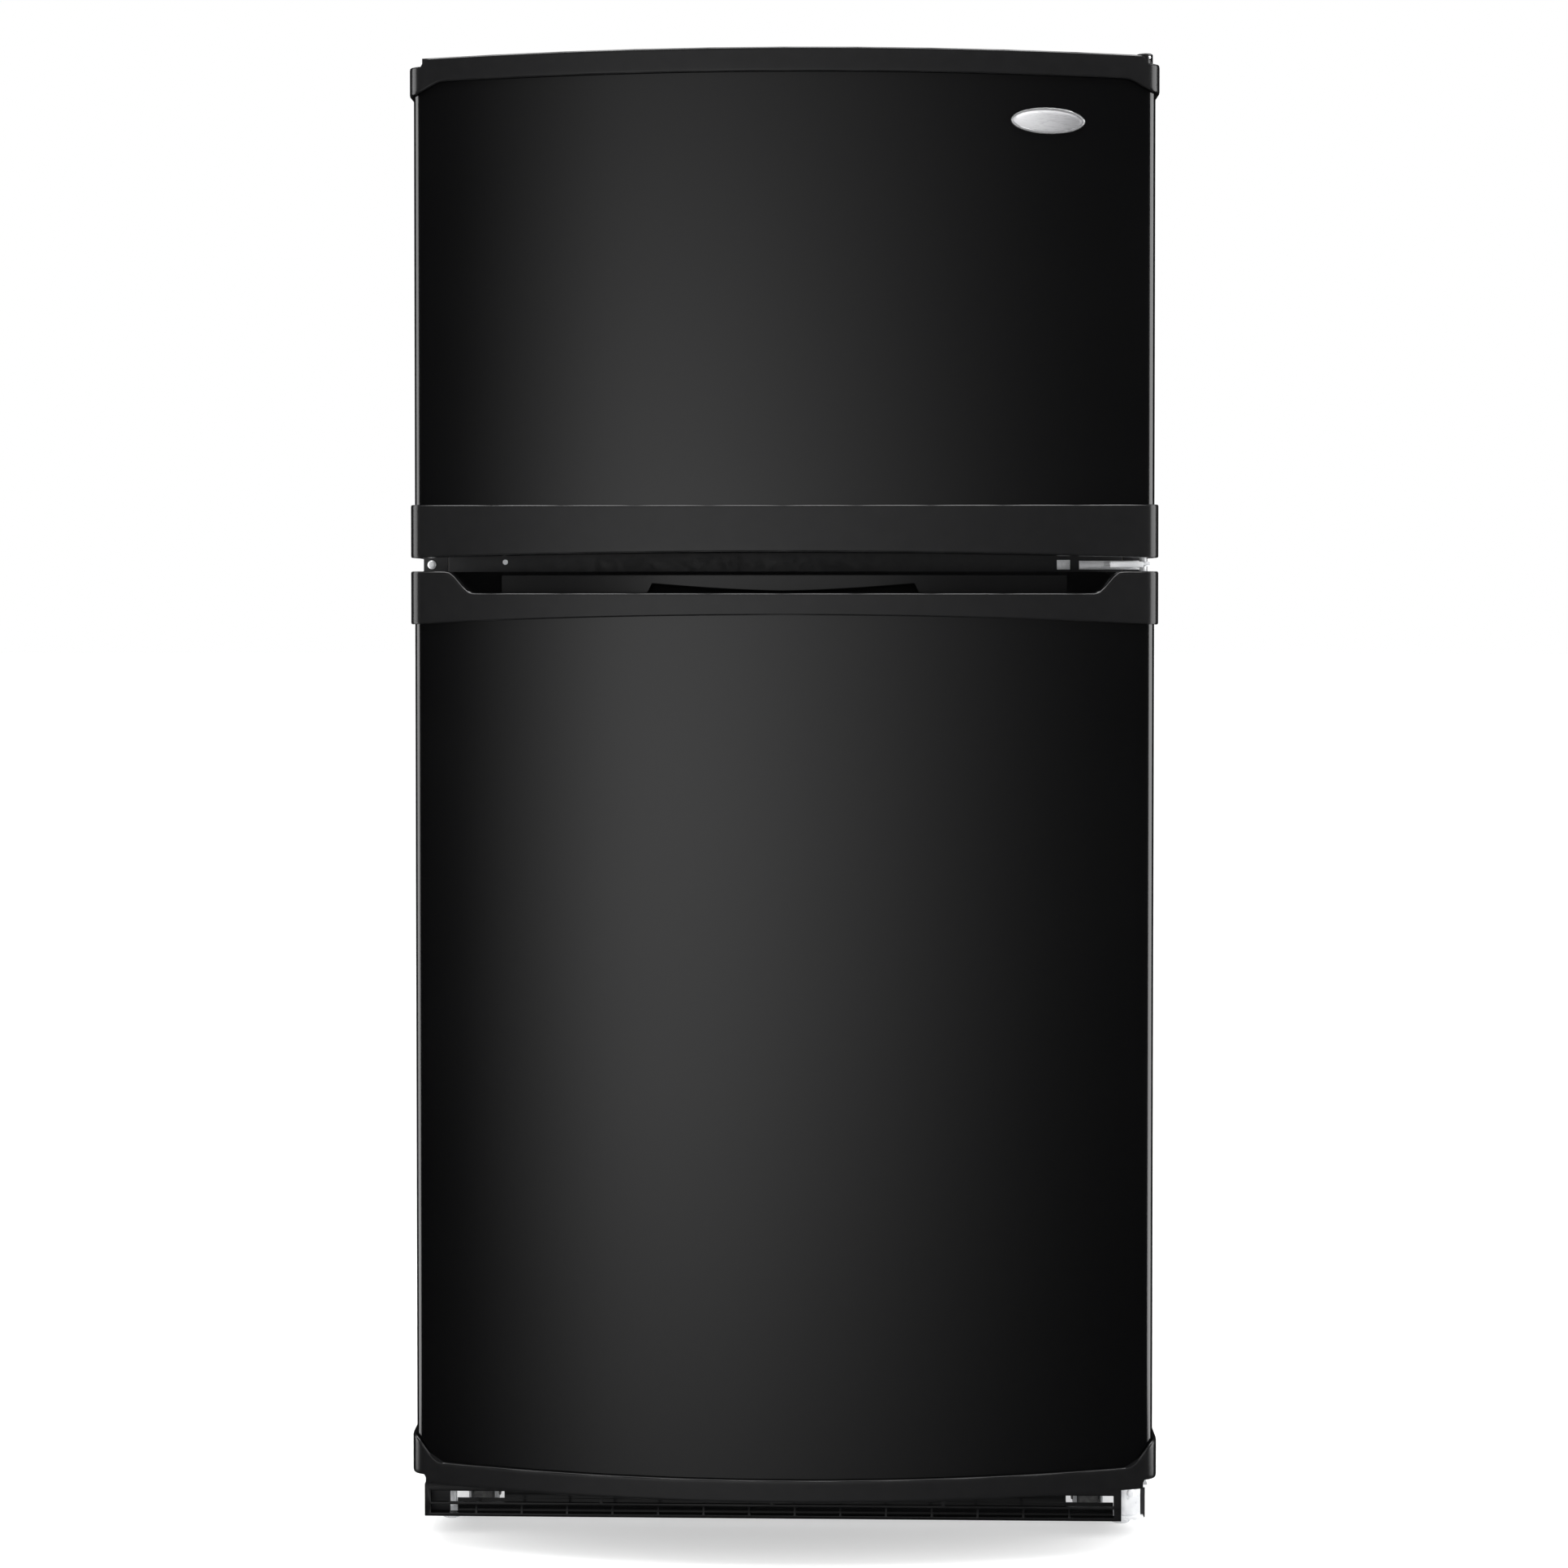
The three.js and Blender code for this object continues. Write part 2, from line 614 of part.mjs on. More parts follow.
function mullionRail() {
  const body = box(span(flangeReach), [frontY, frontY + railDepth], [railLow, railHigh]);
  const inside = box(span(flangeReach + 1), [frontY + sheet, frontY + railDepth + 1],
    [railLow + sheet, railHigh - sheet]);
  addPart("mullion_rail", cut(body, inside), "blackPlastic");
}

// ---------- base ----------
const grilleLeft = -half + 0.5;
const grilleRight = half - 28.5;
const grilleZ = [cabinetFoot, cabinetFoot + 37];
const grilleDepth = 10;
const grilleBar = 7;
const ribPitch = 49;

function baseGrille() {
  const y = [frontY - fit - grilleDepth, frontY - fit];
  const clear = [y[0] - 1, y[1] + 1];
  const inner = [grilleLeft + grilleBar, grilleRight - grilleBar];
  let grille = cut(box([grilleLeft, grilleRight], y, grilleZ),
    box([grilleLeft + 2, grilleRight - 2], [y[0] + 3, clear[1]], [grilleZ[0] + 2, grilleZ[1] - 2]));
  const count = Math.floor((inner[1] - inner[0]) / ribPitch);
  const pitch = (inner[1] - inner[0]) / count;
  for (let i = 0; i < count; i += 1) {
    const x = [inner[0] + i * pitch + (i ? 1.2 : 0), inner[0] + (i + 1) * pitch - 1.2];
    grille = cut(grille, box(x, clear, [cabinetFoot + 3.5, cabinetFoot + 13.5]));
  }
  const slots = 4;
  const slotPitch = (inner[1] - inner[0]) / slots;
  for (let i = 0; i < slots; i += 1) {
    const x = [inner[0] + i * slotPitch + (i ? 1.5 : 0), inner[0] + (i + 1) * slotPitch - 1.5];
    grille = cut(grille, box(x, clear, [cabinetFoot + 16, cabinetFoot + 29]));
  }
  addPart("base_grille", grille, "blackPlastic");
}

const frontRollerY = frontY + 55;
const rearRollerY = backY - 58;
const feetY = frontY + 40;
const cheekGap = rollerWidth / 2 + 2;
const cheekReach = 22;
const footTabZ = 40;
const footStem = 5;

// Two cheeks under the deck that hold a roller's axle.
function cheeks(side, y, axleZ) {
  const x = side * rollerSide;
  const z = [axleZ - 8, deckHeight + 1];
  const pair = join(
    box([x - cheekGap - 2, x - cheekGap], around(y, cheekReach), z),
    box([x + cheekGap, x + cheekGap + 2], around(y, cheekReach), z));
  return cut(pair, rod(axleRadius + axleFit, "x", span(cheekGap + 9), [x, y, axleZ], 12));
}

function footTab(side) {
  const inner = rollerSide + cheekGap + 1;
  const outer = footSide + footStem + 6;
  const x = side > 0 ? [inner, outer] : [-outer, -inner];
  const tab = box(x, around(feetY, 14), [footTabZ, footTabZ + hingePlate]);
  return cut(tab, rod(footStem + 0.4, "z", [0, 99], [side * footSide, feetY, 0], 12));
}

function baseDeck() {
  let deck = box(span(panelHalf), [frontY + 3, panelBackY], [deckHeight, deckTop]);
  for (const side of [-1, 1]) {
    deck = join(deck, cheeks(side, frontRollerY, rollerRadius + frontRollerLift),
      cheeks(side, rearRollerY, rollerRadius), footTab(side));
  }
  addPart("base_deck", deck, "zinc");
}

function roller(name, side, y, lift) {
  const w = rollerWidth / 2;
  const end = cheekGap + 4;
  const profile = [
    [0, -end], [axleRadius, -end], [axleRadius, -w], [rollerRadius - 2, -w], [rollerRadius, 2 - w],
    [rollerRadius, w - 2], [rollerRadius - 2, w], [axleRadius, w], [axleRadius, end], [0, end],
  ];
  addPart(name, turned(profile, "x", [side * rollerSide, y, rollerRadius + lift], 16), "greyPlastic");
}

function levelingFoot(name, side) {
  const profile = [
    [0, 0], [footRadius - 2, 0], [footRadius, 2], [footRadius, 8], [footStem, 11],
    [footStem, footTabZ + 11], [0, footTabZ + 11],
  ];
  addPart(name, turned(profile, "z", [side * footSide, feetY, 0], 16), "zinc");
}

function runningGear() {
  for (const [word, side] of [["left", -1], ["right", 1]]) {
    roller(`front_roller_${word}`, side, frontRollerY, frontRollerLift);
    roller(`rear_roller_${word}`, side, rearRollerY, 0);
    levelingFoot(`leveling_foot_${word}`, side);
  }
}

// ---------- hinges ----------
const hingeNose = 9.5;
const armZ = cabinetTop + 5;
const pinReach = 18;
const hingeArmY = [hingeY - 13, frontY];

const pin = (range) => rod(pinRadius, "z", range, [hingeSide, hingeY, 0]);

function topHinge() {
  const baseY = [frontY + 12, frontY + 92];
  const base = box([hingeSide - 66, hingeSide + 6], baseY, [cabinetTop + fit, cabinetTop + fit + hingePlate]);
  const riser = box([hingeSide - 40, hingeSide + 6], [baseY[0], baseY[0] + hingePlate],
    [cabinetTop + fit, armZ + hingePlate]);
  const arm = box([hingeSide - 22, hingeSide + 6], [hingeY - 8, baseY[0] + hingePlate],
    [armZ, armZ + hingePlate]);
  addPart("top_hinge", join(base, riser, arm, pin([armZ - 2 * pinReach, armZ + 1])), "zinc");
}

function topHingeCover() {
  const top = cabinetTop + 11;
  const y = [frontY + 2, frontY + 106];
  const x = [hingeSide - 74, hingeSide + hingeNose];
  const hollow = box([x[0] + 2, x[1] - 2], [y[0] + 2, y[1] - 2], [cabinetTop, armZ + hingePlate + fit]);
  const body = cut(box(x, y, [cabinetTop + fit, top]), hollow);
  const nose = rod(hingeNose, "z", [cabinetTop - 4, top], [hingeSide, hingeY, 0], 24);
  const bridge = box([hingeSide - hingeNose, x[1]], [hingeY, y[0] + 1], [armZ + hingePlate + fit, top]);
  const armRoom = box([hingeSide - 99, hingeSide + 6 + fit], [hingeY - 8 - fit, y[0] + 9],
    [armZ - fit, armZ + hingePlate + fit]);
  const pinRoom = rod(pinRadius + fit, "z", [cabinetTop - 9, armZ], [hingeSide, hingeY, 0]);
  addPart("top_hinge_cover", cut(join(body, nose, bridge), armRoom, pinRoom), "blackPlastic");
}

function centerHinge() {
  const plateZ = [splitHeight - 0.5, splitHeight - 0.5 + hingePlate];
  const plate = box([hingeSide - 39, hingeSide + 6], hingeArmY, plateZ);
  const tab = box([hingeSide - 67, hingeSide + 6], [frontY - hingePlate, frontY - fit],
    [splitHeight - 5, splitHeight + 5]);
  const clearTab = box([hingeSide - 99, hingeSide + 9], [frontY - fit, frontY + 9], [0, cabinetTop]);
  const pins = pin([plateZ[0] - pinReach, plateZ[1] + pinReach]);
  addPart("center_hinge", cut(join(plate, tab, pins), clearTab), "zinc");
}

function bottomHinge() {
  const x = [half - 28, half - 6];
  const armTop = doorFoot - 2.5;
  const plate = box(x, [frontY - hingePlate - fit, frontY - fit], [cabinetFoot, armTop]);
  const lip = box([x[0], half - 2.5], [frontY - 6, frontY - fit], [cabinetFoot, cabinetFoot + 4]);
  const arm = box([x[0], hingeSide + 6], [hingeY - 12, frontY - fit], [armTop - hingePlate, armTop]);
  addPart("bottom_hinge", join(plate, lip, arm, pin([armTop - 1, doorFoot + pinReach])), "zinc");
}

// ---------- cooling system ----------
const compressorX = 210;
const compressorY = (machineY + panelBackY) / 2;

function compressor() {
  const low = deckTop + 10;
  const dome = turned([
    [0, 0], [70, 0], [80, 14], [82, 62], [84, 66], [82, 70], [78, 108], [60, 134], [0, 146],
  ], "z", [compressorX, compressorY, low], 20);
  const feet = box(around(compressorX, 96), around(compressorY, 60), [low - 4, low + 1]);
  const mounts = [-1, 1].flatMap((sx) => [-1, 1].map((sy) => rod(9, "z", [deckTop + fit, low],
    [compressorX + sx * 82, compressorY + sy * 46, 0], 10)));
  const relay = box([compressorX - 108, compressorX - 70], around(compressorY, 26), [low + 30, low + 92]);
  addPart("compressor", join(dome, feet, relay, ...mounts), "cabinetSteel");
}

// A tube bent back and forth: passes along x, stacked along z.
function serpentine([x0, x1], y, low, pitch, passes, radius) {
  const circle = new THREE.Shape();
  circle.absarc(0, 0, radius, 0, 2 * Math.PI);
  const pieces = [];
  for (let i = 0; i < passes; i += 1) {
    const z = low + i * pitch;
    pieces.push(rod(radius, "x", [x0 - 0.5, x1 + 0.5], [0, y, z], 8));
    if (i === passes - 1) break;
    const end = i % 2 ? x0 : x1;
    const away = i % 2 ? -1 : 1;
    const bend = new THREE.CubicBezierCurve3(
      new THREE.Vector3(end, y, z), new THREE.Vector3(end + away * pitch * 0.66, y, z),
      new THREE.Vector3(end + away * pitch * 0.66, y, z + pitch), new THREE.Vector3(end, y, z + pitch));
    pieces.push(solidOf(new THREE.ExtrudeGeometry(circle, {
      steps: 6, extrudePath: bend, bevelEnabled: false, curveSegments: 4,
    })));
  }
  return join(...pieces);
}

const coilX = [-360, -170];
const coilLow = deckTop + 36;

function condenserCoil() {
  addPart("condenser_coil", serpentine(coilX, compressorY + 20, coilLow, 24, 6, 3.2), "cabinetSteel");
}

// A propeller: hub and pitched blades, turning about an axis along x or y.
function fanBlade(axis, middle, radius, blades) {
  const pieces = [rod(radius * 0.28, "x", [-9, 9], [0, 0, 0], 16)];
  for (let i = 0; i < blades; i += 1) {
    const blade = new THREE.BoxGeometry(2.2, radius * 0.62, radius * 0.8);
    blade.rotateZ(0.45);
    blade.translate(0, 0, radius * 0.6);
    blade.rotateX((i * 2 * Math.PI) / blades);
    pieces.push(solidOf(blade));
  }
  const whole = join(...pieces);
  const turnedWhole = axis === "y" ? whole.rotate([0, 0, 90]) : whole;
  return turnedWhole.translate(middle);
}

function fanMotor(axis, middle, length, arm) {
  const body = rod(22, axis, [0, length], middle, 16);
  return join(body, arm);
}

const fanX = -62;
const fanZ = deckTop + 100;
const fanRadius = 62;

function condenserFan() {
  addPart("condenser_fan_blade", fanBlade("x", [fanX, compressorY, fanZ], fanRadius, 4), "greyPlastic");
  const arm = box([fanX + 22, fanX + 26], around(compressorY, 8), [deckTop + fit, fanZ]);
  addPart("condenser_fan_motor",
    fanMotor("x", [fanX + 12, compressorY, fanZ], 40, arm), "cabinetSteel");
}

function drainPan() {
  addPart("drain_pan", tray([19.5 - half, fanX + 4], [machineY + 8, panelBackY - 12],
    [deckTop + fit, deckTop + 24], 2), "blackPlastic");
}

const glandX = half - 81.5;
const glandZ = deckTop + 60;
const glandRadius = 9;

function machineCover() {
  const y = [panelBackY - sheet, panelBackY];
  let cover = box(span(panelHalf - 1), y, [deckTop + fit, machineTop - fit]);
  const slots = 9;
  const pitch = (2 * (panelHalf - 60)) / slots;
  for (const z of [deckTop + 110, deckTop + 130, deckTop + 150]) {
    for (let i = 0; i < slots; i += 1) {
      const x = -panelHalf + 60 + (i + 0.5) * pitch;
      cover = cut(cover, box(around(x, pitch * 0.38), [y[0] - 1, y[1] + 1], [z, z + 6]));
    }
  }
  cover = cut(cover, rod(glandRadius + fit, "y", [-9, 9], [glandX, y[1], glandZ], 16));
  addPart("machine_cover", cover, "cabinetSteel");
}

function cordGland() {
  const reach = sheet / 2 + fit;
  const profile = [
    [4, -reach - 6], [glandRadius + 3, -reach - 6], [glandRadius + 3, -reach], [glandRadius, -reach],
    [glandRadius, reach], [glandRadius + 4, reach], [glandRadius + 4, reach + 2.2], [4, reach + 2.2],
    [4, -reach - 6],
  ];
  addPart("cord_gland", turned(profile, "y", [glandX, panelBackY - sheet / 2, glandZ], 16), "blackPlastic");
}

const coverY = innerBackY - 78;
const blowerZ = freezerFloor + 330;
const blowerRadius = 52;

function evaporatorCover() {
  const reach = freezerHalf - 2;
  const z = [freezerFloor + fit, freezerTop - fit];
  const wall = 2.5;
  const inner = [[wall - reach, reach - wall], [coverY + wall, innerBackY], [z[0] - 1, z[1] - wall]];
  let cover = cut(box(span(reach), [coverY, innerBackY - fit], z), box(...inner));
  for (let i = -4; i <= 4; i += 1) {
    const tall = Math.sqrt(1 - (i / 4.6) ** 2) * blowerRadius;
    cover = cut(cover, box(around(i * 11, 3.5), [coverY - 1, coverY + wall + 1], around(blowerZ, tall)));
  }
  for (let i = -3; i <= 3; i += 1) {
    cover = cut(cover, box(around(i * 80, 30), [coverY - 1, coverY + wall + 1],
      [freezerFloor + 18, freezerFloor + 26]));
  }
  addPart("evaporator_cover", cover, "whitePlastic");
}

function evaporator() {
  const y = innerBackY - 32;
  const low = freezerFloor + 50;
  const reach = freezerHalf - 83.5;
  const passes = 3;
  const pitch = 52;
  const fins = 9;
  const plates = Array.from({ length: fins }, (_, i) => box(
    around(-reach + ((i + 0.5) * 2 * reach) / fins, 0.7), around(y, 22),
    [low - 14, low + (passes - 1) * pitch + 14]));
  addPart("evaporator", join(serpentine(span(reach), y, low, pitch, passes, 4), ...plates), "aluminium");
}

function evaporatorFan() {
  addPart("evaporator_fan_blade", fanBlade("y", [0, coverY + 20, blowerZ], 48, 4), "greyPlastic");
  const arm = box(span(70), [coverY + 38, coverY + 42], around(blowerZ, 6));
  const posts = [-1, 1].map((side) => box(around(side * 66, 4), [coverY + 2.5 + fit, coverY + 40],
    around(blowerZ, 6)));
  addPart("evaporator_fan_motor", join(fanMotor("y", [0, coverY + 32, blowerZ], 30, arm), ...posts),
    "cabinetSteel");
}

// ---------- fresh food controls ----------
const housingHalf = 170;
const housingY = [shelfFrontY + 12, shelfFrontY + 192];
const housingZ = [freshTop - 60, freshTop - fit];
const dialX = 85;
const dialZ = freshTop - 30;

function controlHousing() {
  const wall = 2.5;
  const body = cut(box(span(housingHalf), housingY, housingZ),
    box(span(housingHalf - wall), [housingY[0] + wall, housingY[1] - wall],
      [housingZ[0] + wall, housingZ[1] + 1]));
  const bores = [-1, 1].map((side) => rod(5.4, "y", [-9, 9], [side * dialX, housingY[0], dialZ], 12));
  addPart("control_housing", cut(body, ...bores), "whitePlastic");
  addPart("light_lens", tray(span(70), [housingY[0] + 70, housingY[1] - 20],
    [housingZ[0] - 22, housingZ[0] - fit], 2), "clearPlastic");
}

function dial(name, side) {
  const front = -14;
  const skirt = turned([
    [0, front], [17, front], [20, front + 3], [20, -fit], [5, -fit], [5, 8], [0, 8],
  ], "y", [side * dialX, housingY[0], dialZ], 20);
  const grip = box(around(side * dialX, 3), [housingY[0] + front - 5, housingY[0] + front + 1],
    around(dialZ, 14));
  addPart(name, join(skirt, grip), "greyPlastic");
}

function lightSwitch() {
  const tip = doorBackY + 0.5 - frontY;
  const profile = [[0, tip], [switchRadius - 1, tip], [switchRadius, tip + 1], [switchRadius, 52], [0, 52]];
  addPart("light_switch", turned(profile, "y", [switchX, frontY, switchZ], 12), "whitePlastic");
}

// ---------- shelves and drawers ----------
const shelfBackY = innerBackY - 6;

function freezerShelf() {
  const reach = freezerHalf - 1.5;
  const y = [shelfFrontY, coverY - 6];
  const z = [freezerShelfZ + fit, freezerShelfZ + fit + 7];
  const wires = 23;
  const pitch = (2 * reach) / (wires + 1);
  const rails = [box(span(reach), [y[0], y[0] + 7], z), box(span(reach), [y[1] - 7, y[1]], z),
    box([-reach, 7 - reach], y, z), box([reach - 7, reach], y, z),
    box(span(reach), around((y[0] + y[1]) / 2, 3.5), [z[0], z[0] + 4])];
  const bars = Array.from({ length: wires }, (_, i) => box(
    around(-reach + (i + 1) * pitch, 2), [y[0] + 1, y[1] - 1], [z[0] + 2.5, z[0] + 6.5]));
  addPart("freezer_shelf", join(...rails, ...bars), "whitePlastic");
}

// A glass pane held in a moulded rim.
function glassShelf(name, top) {
  const reach = freshHalf - 1.5;
  const y = [shelfFrontY, shelfBackY];
  const z = [top + fit, top + fit + shelfThick];
  const rim = cut(box(span(reach), y, z), box(span(reach - 14), [y[0] + 22, y[1] - 14],
    [z[0] - 1, z[1] + 1]));
  const pane = box(span(reach - 13), [y[0] + 21, y[1] - 13], [z[1] - 3 - glassThick, z[1] - 3]);
  addPart(name, join(rim, pane), "clearPlastic");
}

const crisperGap = 6;
const crisperHeight = 180;
const crisperY = [shelfFrontY, humpY - 8];

function crisper(name, side) {
  const inner = crisperGap / 2;
  const outer = freshHalf - 5;
  const x = side > 0 ? [inner, outer] : [-outer, -inner];
  const z = [freshFloor + 3, freshFloor + 3 + crisperHeight];
  const middle = (x[0] + x[1]) / 2;
  const grip = cut(box(around(middle, 110), [crisperY[0] - 16, crisperY[0] + 1], [z[1] - 34, z[1] - 4]),
    box(around(middle, 107), [crisperY[0] - 13, crisperY[0]], [z[1] - 40, z[1] - 7]));
  addPart(name, join(tray(x, crisperY, z, binWall), grip), "clearPlastic");
}

function humiditySlide(name, side) {
  const x = around((side * freshHalf) / 2, 14);
  const z = around(crisperCoverZ + fit + shelfThick / 2, 5);
  const plate = box(x, [shelfFrontY - fit - 2.5, shelfFrontY - fit], z);
  const knob = box(around((side * freshHalf) / 2, 2.5), [shelfFrontY - 9, shelfFrontY - 2], z);
  addPart(name, join(plate, knob), "greyPlastic");
}

function freshFoodInterior() {
  glassShelf("shelf_upper", upperShelfZ);
  glassShelf("shelf_lower", lowerShelfZ);
  glassShelf("crisper_cover", crisperCoverZ);
  for (const [word, side] of [["left", -1], ["right", 1]]) {
    crisper(`crisper_${word}`, side);
    humiditySlide(`humidity_slide_${word}`, side);
  }
  controlHousing();
  dial("fresh_food_dial", -1);
  dial("freezer_dial", 1);
  lightSwitch();
}

// ---------- the whole ----------
outerWrapper();
backPanel();
cabinetFoam();
freezerLiner();
freshFoodLiner();
mullionRail();
baseGrille();
baseDeck();
runningGear();
topHinge();
topHingeCover();
centerHinge();
bottomHinge();
machineCover();
cordGland();
compressor();
condenserCoil();
condenserFan();
drainPan();
evaporatorCover();
evaporator();
evaporatorFan();
freezerShelf();
freshFoodInterior();
upperDoor();
badge();
lowerDoor();

export default group;
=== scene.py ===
import json
import math

import bmesh
import bpy
from mathutils import Matrix, Vector

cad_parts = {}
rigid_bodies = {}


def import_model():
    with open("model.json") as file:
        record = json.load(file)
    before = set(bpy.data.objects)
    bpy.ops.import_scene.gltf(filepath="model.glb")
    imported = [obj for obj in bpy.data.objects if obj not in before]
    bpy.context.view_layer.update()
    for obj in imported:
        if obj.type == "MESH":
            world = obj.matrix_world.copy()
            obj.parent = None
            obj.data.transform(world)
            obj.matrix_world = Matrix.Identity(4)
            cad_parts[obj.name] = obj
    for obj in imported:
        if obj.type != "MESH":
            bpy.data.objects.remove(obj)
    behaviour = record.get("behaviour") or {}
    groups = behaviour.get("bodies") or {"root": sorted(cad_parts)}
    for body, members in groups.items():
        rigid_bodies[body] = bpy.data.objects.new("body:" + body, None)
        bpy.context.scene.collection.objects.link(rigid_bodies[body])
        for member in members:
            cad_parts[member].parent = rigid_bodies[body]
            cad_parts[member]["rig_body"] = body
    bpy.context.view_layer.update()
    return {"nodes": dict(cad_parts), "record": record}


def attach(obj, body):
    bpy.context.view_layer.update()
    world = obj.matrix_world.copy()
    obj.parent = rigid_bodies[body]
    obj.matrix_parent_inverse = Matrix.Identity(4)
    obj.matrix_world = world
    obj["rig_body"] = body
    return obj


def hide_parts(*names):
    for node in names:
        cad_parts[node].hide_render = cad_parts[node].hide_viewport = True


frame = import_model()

slotOfNode = {part["node"]: part["material_slot"] for part in frame["record"]["subparts"]}
bodyOfNode = {node: piece["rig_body"] for node, piece in frame["nodes"].items()}
print("frame loaded:", len(frame["nodes"]), "nodes")


# finishes: every one reads Object coordinates, and every piece sits at the origin

def newFinish(name, colour, roughness, metallic=0.0, **sockets):
    finish = bpy.data.materials.new(name)
    finish.use_nodes = True
    shader = finish.node_tree.nodes["Principled BSDF"]
    shader.inputs["Base Color"].default_value = (*colour, 1)
    shader.inputs["Roughness"].default_value = roughness
    shader.inputs["Metallic"].default_value = metallic
    for socket, value in sockets.items():
        shader.inputs[socket.replace("_", " ")].default_value = value
    return finish


def placePattern(finish, stretch=(1, 1, 1)):
    tree = finish.node_tree
    where = tree.nodes.new("ShaderNodeTexCoord")
    stretched = tree.nodes.new("ShaderNodeMapping")
    stretched.inputs["Scale"].default_value = stretch
    tree.links.new(where.outputs["Object"], stretched.inputs["Vector"])
    return stretched.outputs["Vector"]


def noisePattern(finish, scale, detail, stretch=(1, 1, 1)):
    noise = finish.node_tree.nodes.new("ShaderNodeTexNoise")
    noise.inputs["Scale"].default_value = scale
    noise.inputs["Detail"].default_value = detail
    finish.node_tree.links.new(placePattern(finish, stretch), noise.inputs["Vector"])
    return noise.outputs["Fac"]


def acrossPattern(finish):  # the place along X, in metres
    parts = finish.node_tree.nodes.new("ShaderNodeSeparateXYZ")
    finish.node_tree.links.new(placePattern(finish), parts.inputs[0])
    return parts.outputs["X"]


def varyColour(finish, factor, dark, light, low=0.35, high=0.65):
    tree = finish.node_tree
    ramp = tree.nodes.new("ShaderNodeValToRGB")
    ramp.color_ramp.elements[0].position = low
    ramp.color_ramp.elements[0].color = (*dark, 1)
    ramp.color_ramp.elements[1].position = high
    ramp.color_ramp.elements[1].color = (*light, 1)
    tree.links.new(factor, ramp.inputs["Fac"])
    tree.links.new(ramp.outputs["Color"], tree.nodes["Principled BSDF"].inputs["Base Color"])


def varyRoughness(finish, factor, low, high):
    tree = finish.node_tree
    spread = tree.nodes.new("ShaderNodeMapRange")
    spread.inputs["From Min"].default_value = 0.3
    spread.inputs["From Max"].default_value = 0.7
    spread.inputs["To Min"].default_value = low
    spread.inputs["To Max"].default_value = high
    tree.links.new(factor, spread.inputs["Value"])
    tree.links.new(spread.outputs["Result"], tree.nodes["Principled BSDF"].inputs["Roughness"])


def addBump(finish, factor, height, strength):
    tree = finish.node_tree
    bump = tree.nodes.new("ShaderNodeBump")
    bump.inputs["Distance"].default_value = height
    bump.inputs["Strength"].default_value = strength
    tree.links.new(factor, bump.inputs["Height"])
    tree.links.new(bump.outputs["Normal"], tree.nodes["Principled BSDF"].inputs["Normal"])


def edgeSheen(finish, faceAlpha, edgeAlpha):  # clear plastic and glass read denser at their edges
    tree = finish.node_tree
    facing = tree.nodes.new("ShaderNodeLayerWeight")
    facing.inputs["Blend"].default_value = 0.35
    spread = tree.nodes.new("ShaderNodeMapRange")
    spread.inputs["To Min"].default_value = faceAlpha
    spread.inputs["To Max"].default_value = edgeAlpha
    tree.links.new(facing.outputs["Facing"], spread.inputs["Value"])
    tree.links.new(spread.outputs["Result"], tree.nodes["Principled BSDF"].inputs["Alpha"])


doorEnamel = newFinish("doorEnamel", (0.0010, 0.0010, 0.0011), 0.15)
varyRoughness(doorEnamel, noisePattern(doorEnamel, 6, 1.0), 0.14, 0.16)
addBump(doorEnamel, noisePattern(doorEnamel, 260, 1.0), 0.00001, 0.2)  # faint orange peel

trimPlastic = newFinish("trimPlastic", (0.0048, 0.0048, 0.0050), 0.22, Specular_IOR_Level=0.34)
varyColour(trimPlastic, noisePattern(trimPlastic, 90, 3.0),
           (0.0044, 0.0044, 0.0046), (0.0052, 0.0052, 0.0054))
addBump(trimPlastic, noisePattern(trimPlastic, 1500, 2.0), 0.00005, 0.5)  # moulded grain

cabinetPaint = newFinish("cabinetPaint", (0.013, 0.013, 0.014), 0.45)
varyRoughness(cabinetPaint, noisePattern(cabinetPaint, 160, 4.0), 0.38, 0.55)
addBump(cabinetPaint, noisePattern(cabinetPaint, 620, 4.0), 0.00022, 0.6)  # pebbled paint

zincPlate = newFinish("zincPlate", (0.80, 0.81, 0.82), 0.36, 0.3)
varyColour(zincPlate, noisePattern(zincPlate, 70, 5.0), (0.72, 0.73, 0.75), (0.87, 0.88, 0.89))
varyRoughness(zincPlate, noisePattern(zincPlate, 240, 4.0), 0.26, 0.44)

brightChrome = newFinish("brightChrome", (0.55, 0.55, 0.56), 0.08, 0.8)
varyRoughness(brightChrome, noisePattern(brightChrome, 300, 2.0), 0.06, 0.11)

brushedMetalPaintedReflection = newFinish("brushedMetalPaintedReflection", (0.30, 0.30, 0.31), 0.3, 0.35)
varyColour(brushedMetalPaintedReflection, acrossPattern(brushedMetalPaintedReflection), (0.48, 0.48, 0.49), (0.13, 0.13, 0.135),
           0.256, 0.330)  # painted reflection: lighter at its left end, darker towards its right end
varyRoughness(brushedMetalPaintedReflection, noisePattern(brushedMetalPaintedReflection, 90, 3.0, (1, 1, 30)), 0.24, 0.42)

linerWhite = newFinish("linerWhite", (0.42, 0.425, 0.42), 0.32)
varyColour(linerWhite, noisePattern(linerWhite, 7, 2.0), (0.41, 0.415, 0.41), (0.43, 0.435, 0.43))
varyRoughness(linerWhite, noisePattern(linerWhite, 30, 3.0), 0.28, 0.38)
addBump(linerWhite, noisePattern(linerWhite, 140, 2.0), 0.00008, 0.3)  # vacuum-formed sheet

mouldedWhite = newFinish("mouldedWhite", (0.36, 0.365, 0.37), 0.4)
varyColour(mouldedWhite, noisePattern(mouldedWhite, 40, 3.0), (0.34, 0.345, 0.35), (0.38, 0.385, 0.39))
addBump(mouldedWhite, noisePattern(mouldedWhite, 900, 2.0), 0.00005, 0.4)

